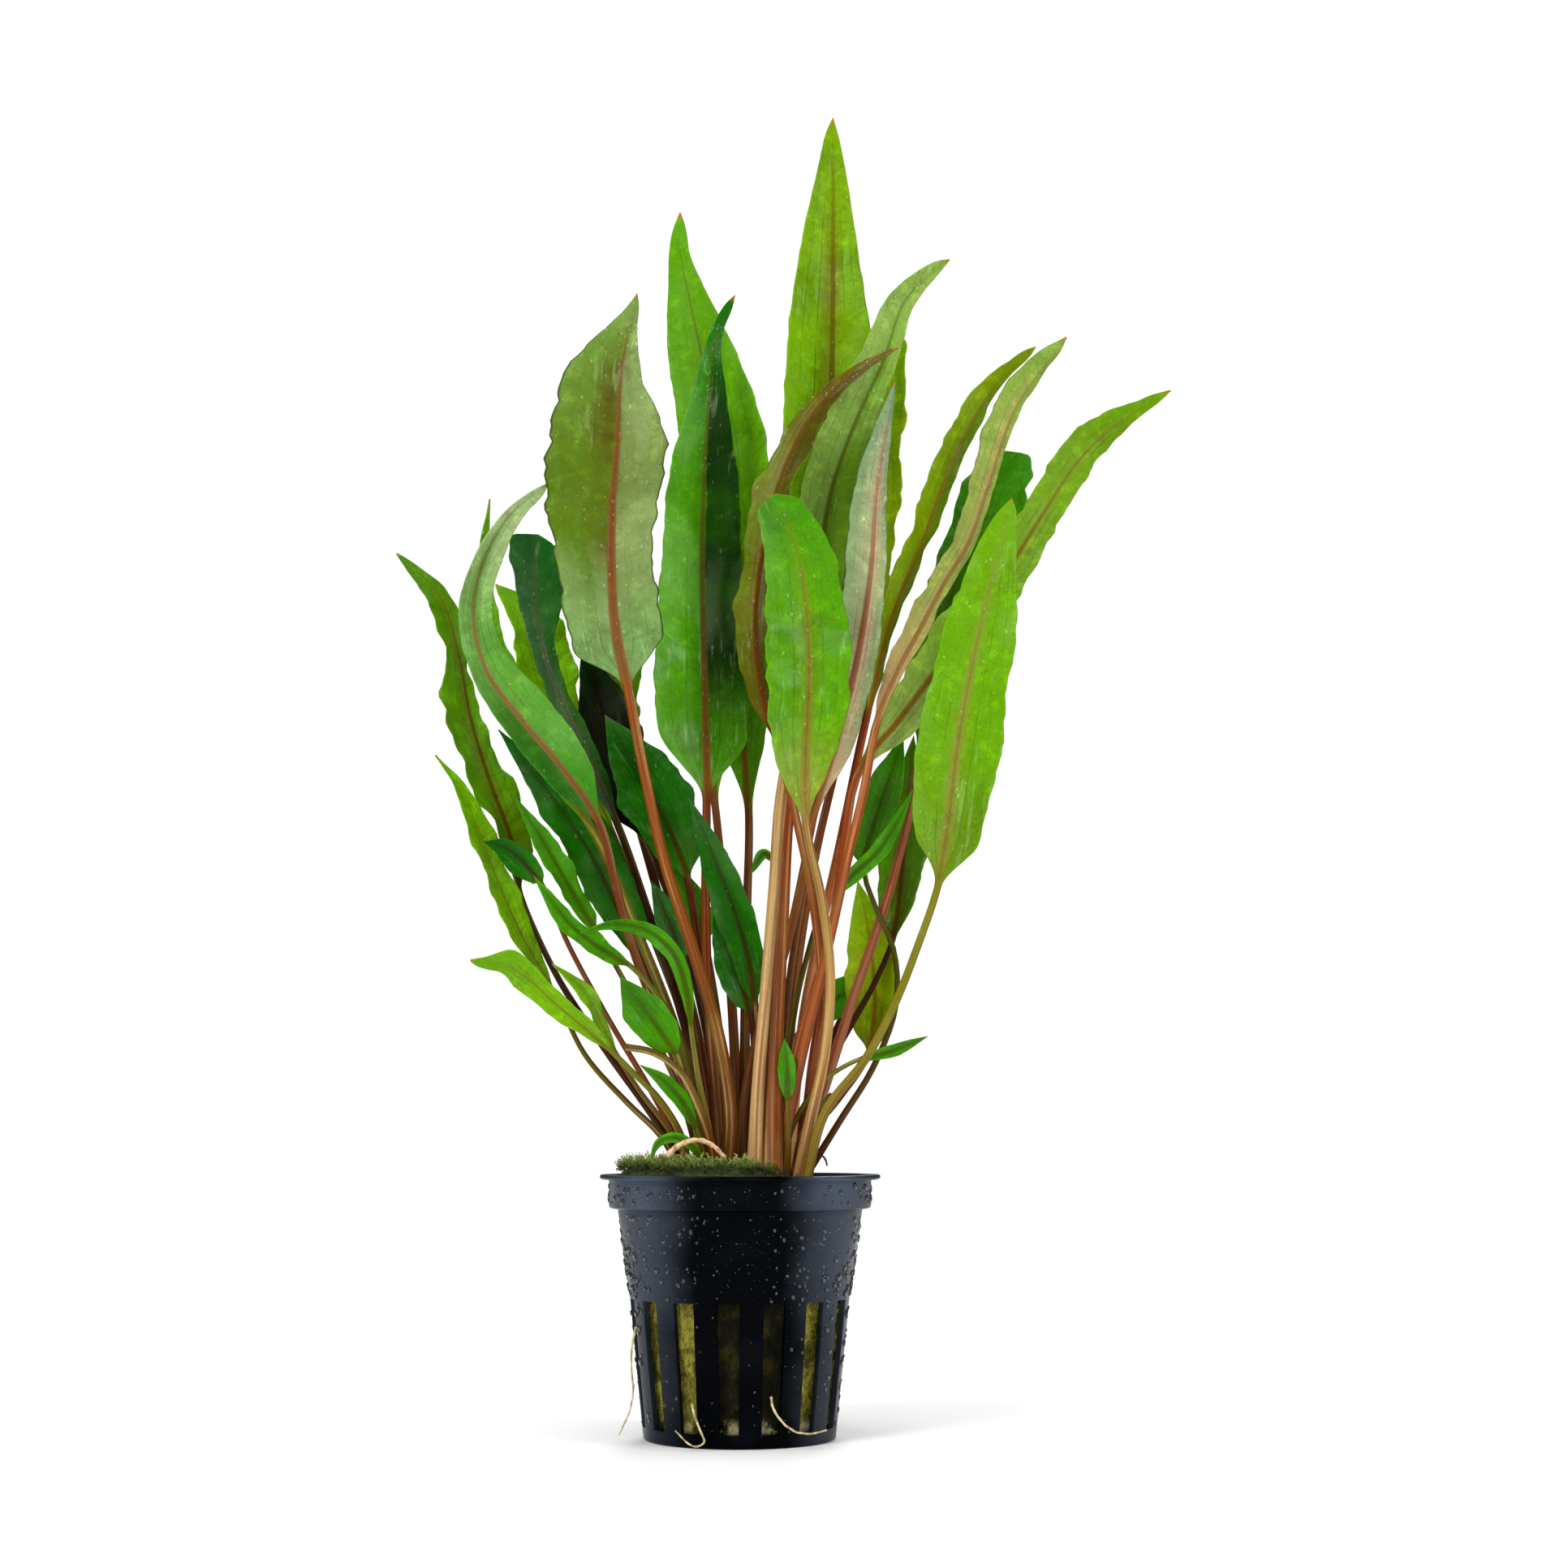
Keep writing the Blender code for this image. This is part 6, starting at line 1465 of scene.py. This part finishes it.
def moss_finish():
    moss = Finish("moss_finish", Specular_IOR_Level=0.25)
    place = moss.node("ShaderNodeTexCoord", output=3)
    patch = moss.noise(place, 260.0, 3.0, 0.6)
    fine = moss.noise(place, 2200.0, 3.0, 0.7)
    colour = moss.blend(moss.rise(patch, 0.35, 0.62), eye_colour(50, 66, 18), eye_colour(112, 134, 52))
    colour = moss.blend(moss.rise(fine, 0.52, 0.66) * 0.7, colour, eye_colour(160, 172, 96))
    colour = moss.blend(moss.rise(patch, 0.62, 0.78) * 0.6, colour, eye_colour(96, 74, 34))
    height = moss.node("ShaderNodeSeparateXYZ", None, place, output=2)
    # Painted light and shade by height: the lowest parts of the cushion are darkened nearly to black as shade between
    # the shoots, and the highest tips are made paler as painted highlights.
    bright = moss.rise(height + (fine - 0.5) * 0.002, 0.0528, 0.0545)
    colour = moss.blend(moss.rise(height, 0.0533, 0.0515) * 0.8, colour, eye_colour(22, 27, 8))
    colour = moss.blend(bright * 0.8, colour, eye_colour(186, 196, 104))
    moss.set("Base Color", colour)
    moss.set("Roughness", 0.6 + fine * 0.3)
    moss.bump(fine, 0.7, 0.0003)
    return moss.material


def needle_shape():
    """A pointed leaflet of unit length, widest at two fifths, with three sides."""
    points = [(0.0, 0.0, 0.0), (1.0, 0.0, 0.4), (-0.5, 0.9, 0.4), (-0.5, -0.9, 0.4), (0.0, 0.0, 1.0)]
    return np.array(points), [(0, 2, 1), (0, 3, 2), (0, 1, 3), (4, 1, 2), (4, 2, 3), (4, 3, 1)]


def make_moss():
    """A cushion of moss on the wool round the crown, thick with upright shoots."""
    rng = np.random.default_rng(31)
    rings, count = 16, 150
    turn = np.arange(count) * math.tau / count
    crown = np.stack(((CROWN_RADII[0] + 0.6) * np.cos(turn) + CROWN_CENTRE[0],
                      (CROWN_RADII[1] + 0.6) * np.sin(turn) + CROWN_CENTRE[1]), axis=1)
    rim = MOSS_RADIUS * np.stack((np.cos(turn), np.sin(turn)), axis=1)
    rows = []
    for share in np.linspace(0, 1, rings):
        xy = rim + (crown - rim) * share
        high = moss_top(xy[:, 0], xy[:, 1]) - 1.9 * (1 - share) ** 6 - 1.2
        flat = np.column_stack((xy, high))
        flat[:, 2] += ripple(flat * (1, 1, 0), rng, (5.0,), (0.16,)) + ripple(flat, rng, (1.6,), (0.12,))
        rows.append(flat)
    low = WOOL_TOP + GAP
    rows.insert(0, np.column_stack((rim, np.full(count, low))))
    rows.append(np.column_stack((crown, np.full(count, low))))
    points = np.concatenate(rows)
    ring, k = np.meshgrid(np.arange(len(rows)), np.arange(count), indexing="ij")
    nxt, after = (ring + 1) % len(rows), (k + 1) % count
    quads = np.stack((ring * count + k, ring * count + after, nxt * count + after, nxt * count + k), axis=-1)
    mat = points, quads.reshape(-1, 4).tolist()

    shoots = 2300
    x, y = rng.uniform(-MOSS_RADIUS, MOSS_RADIUS, (2, shoots * 2))
    thick = np.clip(1.15 - (x - 1.0) / 14.0 - np.maximum(y, 0) / 60.0, 0.35, 1.0)
    keep = (np.hypot(x, y) < MOSS_RADIUS - 0.2) & (from_crown(x, y, 0.3) > 1) & (rng.random(len(x)) < thick)
    x, y = x[keep][:shoots], y[keep][:shoots]
    tall = (0.7 + 2.5 * rng.random(len(x)) ** 2.0) * np.clip(1.2 - (x - 2.0) / 22.0, 0.75, 1.0)
    edge = np.clip((np.hypot(x, y) - 20.0) / 4.0, 0, 1)
    base = np.column_stack((x, y, moss_top(x, y) - 1.3 - 1.5 * edge ** 4))
    lean = rng.normal(0, 0.5, (len(x), 2)) + np.column_stack((x, y)) / 40.0
    up = unit(np.column_stack((lean, np.ones(len(x)))))
    side = unit(np.cross(up, rng.normal(size=up.shape)))
    stems = bent_fibres(base + up * (tall * 0.5)[:, None], up, side, tall, 0.1, rng, 4)
    leaflets = 7
    share = np.tile(np.linspace(0.25, 1.0, leaflets), len(x))
    owner = np.repeat(np.arange(len(x)), leaflets)
    twist = np.tile(np.arange(leaflets) * 2.4, len(x)) + rng.uniform(0, 0.6, len(owner))
    out = (side[owner] * np.cos(twist)[:, None] + np.cross(up, side)[owner] * np.sin(twist)[:, None])
    reach = rng.uniform(0.35, 0.8, len(owner)) * (1.1 - 0.5 * share)
    way = unit(out + up[owner] * (0.5 + 0.6 * share)[:, None])
    root = base[owner] + up[owner] * (tall[owner] * share * 0.92)[:, None]
    normals = unit(np.cross(way, np.cross(up[owner], way)) + 1e-6)
    axes = np.stack((normals * 0.11, np.cross(way, normals) * 0.17, way * reach[:, None]), axis=1)
    needles = scattered(*needle_shape(), root, axes)
    add_piece("moss_cushion", *joined(mat, stems, needles), "moss", moss_finish(), ("moss_mat",))


ROOTLET = ((11.4, -8.5, 50.4), (12.3, -9.4, 53.2), (13.2, -10.0, 54.9), (14.4, -10.4, 55.0), (15.6, -10.9, 54.5),
           (16.6, -11.2, 53.4), (16.9, -11.2, 52.3))


def root_finish(name, light, dark):
    """A thin root: pale, a little translucent, with brown flecks along it."""
    root = Finish(name, Subsurface_Weight=0.15, Subsurface_Scale=0.0006, Specular_IOR_Level=0.4)
    place = root.node("ShaderNodeTexCoord", output=3)
    fleck = root.noise(place, 700.0, 3.0, 0.6)
    root.set("Base Color", root.blend(root.rise(fleck, 0.4, 0.66), light, dark))
    root.set("Roughness", 0.4 + fleck * 0.3)
    root.bump(fleck, 0.4, 0.0002)
    return root.material


def fine_tube(route, widths, rng, sides=10, step=0.35, wander=0.06):
    """A thin root along real points, a little knotty, as points and faces."""
    path = np.array(route, float)
    knots = np.concatenate(([0.0], np.cumsum(np.linalg.norm(np.diff(path, axis=0), axis=1))))
    rings = max(int(knots[-1] / step), 6)
    knots = knots / knots[-1]
    at = np.linspace(0.0, 1.0, rings)
    centre = np.stack([smooth_curve(knots, path[:, axis], at) for axis in range(3)], axis=1)
    centre += wander * np.sin(math.pi * at)[:, None] * np.stack(
        [waves(at * rings * step, rng, (4.1, 2.3), (0.7, 0.5)) for _ in range(3)], axis=1)
    tangent = unit(np.gradient(centre, at, axis=0))
    side = unit(np.cross(tangent, np.array((0.13, -0.9, 0.2))))
    other = np.cross(tangent, side)
    half = 0.5 * (widths[0] + (widths[1] - widths[0]) * at) * (1 + 0.12 * waves(at * rings * step, rng, (1.7,), (1,)))
    angles = np.arange(sides) * math.tau / sides
    points = centre[:, None] + half[:, None, None] * (side[:, None] * np.cos(angles)[None, :, None]
                                                      + other[:, None] * np.sin(angles)[None, :, None])
    ends = centre[[0, -1]]
    return np.concatenate((points.reshape(-1, 3), ends)), sleeve(rings, sides)


def make_roots():
    rng = np.random.default_rng(41)
    pale = root_finish("pale_root_finish", eye_colour(206, 196, 150), eye_colour(150, 128, 76))
    for name, route, widths in ROOTS:
        add_piece(name + "_strand", *fine_tube(route, widths, rng), "root", pale, (name,))
    pink = root_finish("runner_finish", eye_colour(222, 190, 146), eye_colour(168, 116, 76))
    dark = root_finish("rootlet_finish", eye_colour(46, 28, 14), eye_colour(20, 12, 8))
    add_piece("dark_rootlet", *fine_tube(ROOTLET, (0.7, 0.35), rng, 8, 0.3, 0.05), "root", dark)
    add_piece("moss_runner", *fine_tube(RUNNER, (1.2, 0.8), rng, 16, 0.3, 0.02), "runner", pink, ("runner",))


def bark_rootstock():
    """The rootstock keeps its solid and gets rough brown tissue."""
    bark = Finish("rootstock_finish", Specular_IOR_Level=0.3)
    place = bark.node("ShaderNodeTexCoord", output=3)
    scale = bark.noise(bark.stretch(place, (1.0, 1.0, 0.4)), 500.0, 4.0, 0.65)
    bark.set("Base Color", bark.blend(bark.rise(scale, 0.35, 0.65), eye_colour(58, 38, 20), eye_colour(128, 92, 52)))
    bark.set("Roughness", 0.65 + scale * 0.3)
    bark.bump(scale, 0.8, 0.0006)
    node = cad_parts["rootstock"]
    node.data.materials.clear()
    node.data.materials.append(bark.material)


make_wool()
make_moss()
make_roots()
bark_rootstock()


# Floor, light and camera.
SURROUND_LIGHT = 0.19


def pale_floor():
    """A round white table that the pot stands on."""
    count, radii = 96, (0.2, 0.4, 0.65)
    turn = np.arange(count) * math.tau / count
    points = [(r * math.cos(a), r * math.sin(a), 0.0) for r in radii for a in turn] + [(0.0, 0.0, 0.0)]
    faces = [(r * count + k, (r + 1) * count + k, (r + 1) * count + (k + 1) % count, r * count + (k + 1) % count)
             for r in range(len(radii) - 1) for k in range(count)]
    faces += [(len(points) - 1, k, (k + 1) % count) for k in range(count)]
    mesh = bpy.data.meshes.new("studio_floor")
    mesh.from_pydata(points, [], faces)
    floor = bpy.data.objects.new("studio_floor", mesh)
    bpy.context.scene.collection.objects.link(floor)
    paper = Finish("studio_floor_finish", Specular_IOR_Level=0.0)
    grain = paper.noise(paper.node("ShaderNodeTexCoord", output=3), 40.0)
    paper.set("Base Color", paper.blend(grain, (0.9, 0.9, 0.9, 1.0), (0.93, 0.93, 0.93, 1.0)))
    paper.set("Roughness", 0.8 + grain * 0.1)
    mesh.materials.append(paper.material)


def soft_light(name, place, size, power, aim=(0.0, 0.0, 0.13)):
    light = bpy.data.lights.new(name, "AREA")
    light.shape = "DISK"
    light.size = size
    light.energy = power
    lamp = bpy.data.objects.new(name, light)
    lamp.location = place
    lamp.rotation_euler = (Vector(aim) - Vector(place)).to_track_quat("-Z", "Y").to_euler()
    bpy.context.scene.collection.objects.link(lamp)


def light_studio():
    """A white surround behind the plant, dimmer as a source of light, and five soft lamps."""
    world = bpy.data.worlds.new("studio")
    world.use_nodes = True
    tree = world.node_tree
    backdrop = tree.nodes["Background"]
    backdrop.inputs["Color"].default_value = (1.0, 1.0, 1.0, 1.0)
    path = tree.nodes.new("ShaderNodeLightPath")
    strength = tree.nodes.new("ShaderNodeMapRange")
    strength.inputs["To Min"].default_value = SURROUND_LIGHT
    strength.inputs["To Max"].default_value = 1.02
    tree.links.new(path.outputs["Is Camera Ray"], strength.inputs["Value"])
    tree.links.new(strength.outputs["Result"], backdrop.inputs["Strength"])
    bpy.context.scene.world = world
    soft_light("key_light", (-0.6, -0.75, 0.7), 0.45, 7.0)
    soft_light("front_light", (0.1, -0.9, 0.1), 0.4, 2.2)
    soft_light("right_light", (0.85, -0.4, 0.45), 0.4, 3.5)
    soft_light("back_light", (0.1, 0.8, 0.75), 0.5, 6.0)
    soft_light("top_light", (0.0, -0.1, 1.2), 0.8, 8.0)


def set_camera():
    lens = bpy.data.cameras.new("photo_view")
    lens.sensor_width = 36.0
    lens.lens = 57.76
    lens.clip_start = 0.01
    camera = bpy.data.objects.new("photo_view", lens)
    camera.location = EYE * MM
    camera.rotation_euler = (math.radians(90) + EYE_PITCH, 0.0, 0.0)
    bpy.context.scene.collection.objects.link(camera)
    bpy.context.scene.camera = camera
    bpy.context.scene.view_settings.view_transform = "Standard"


pale_floor()
light_studio()
set_camera()
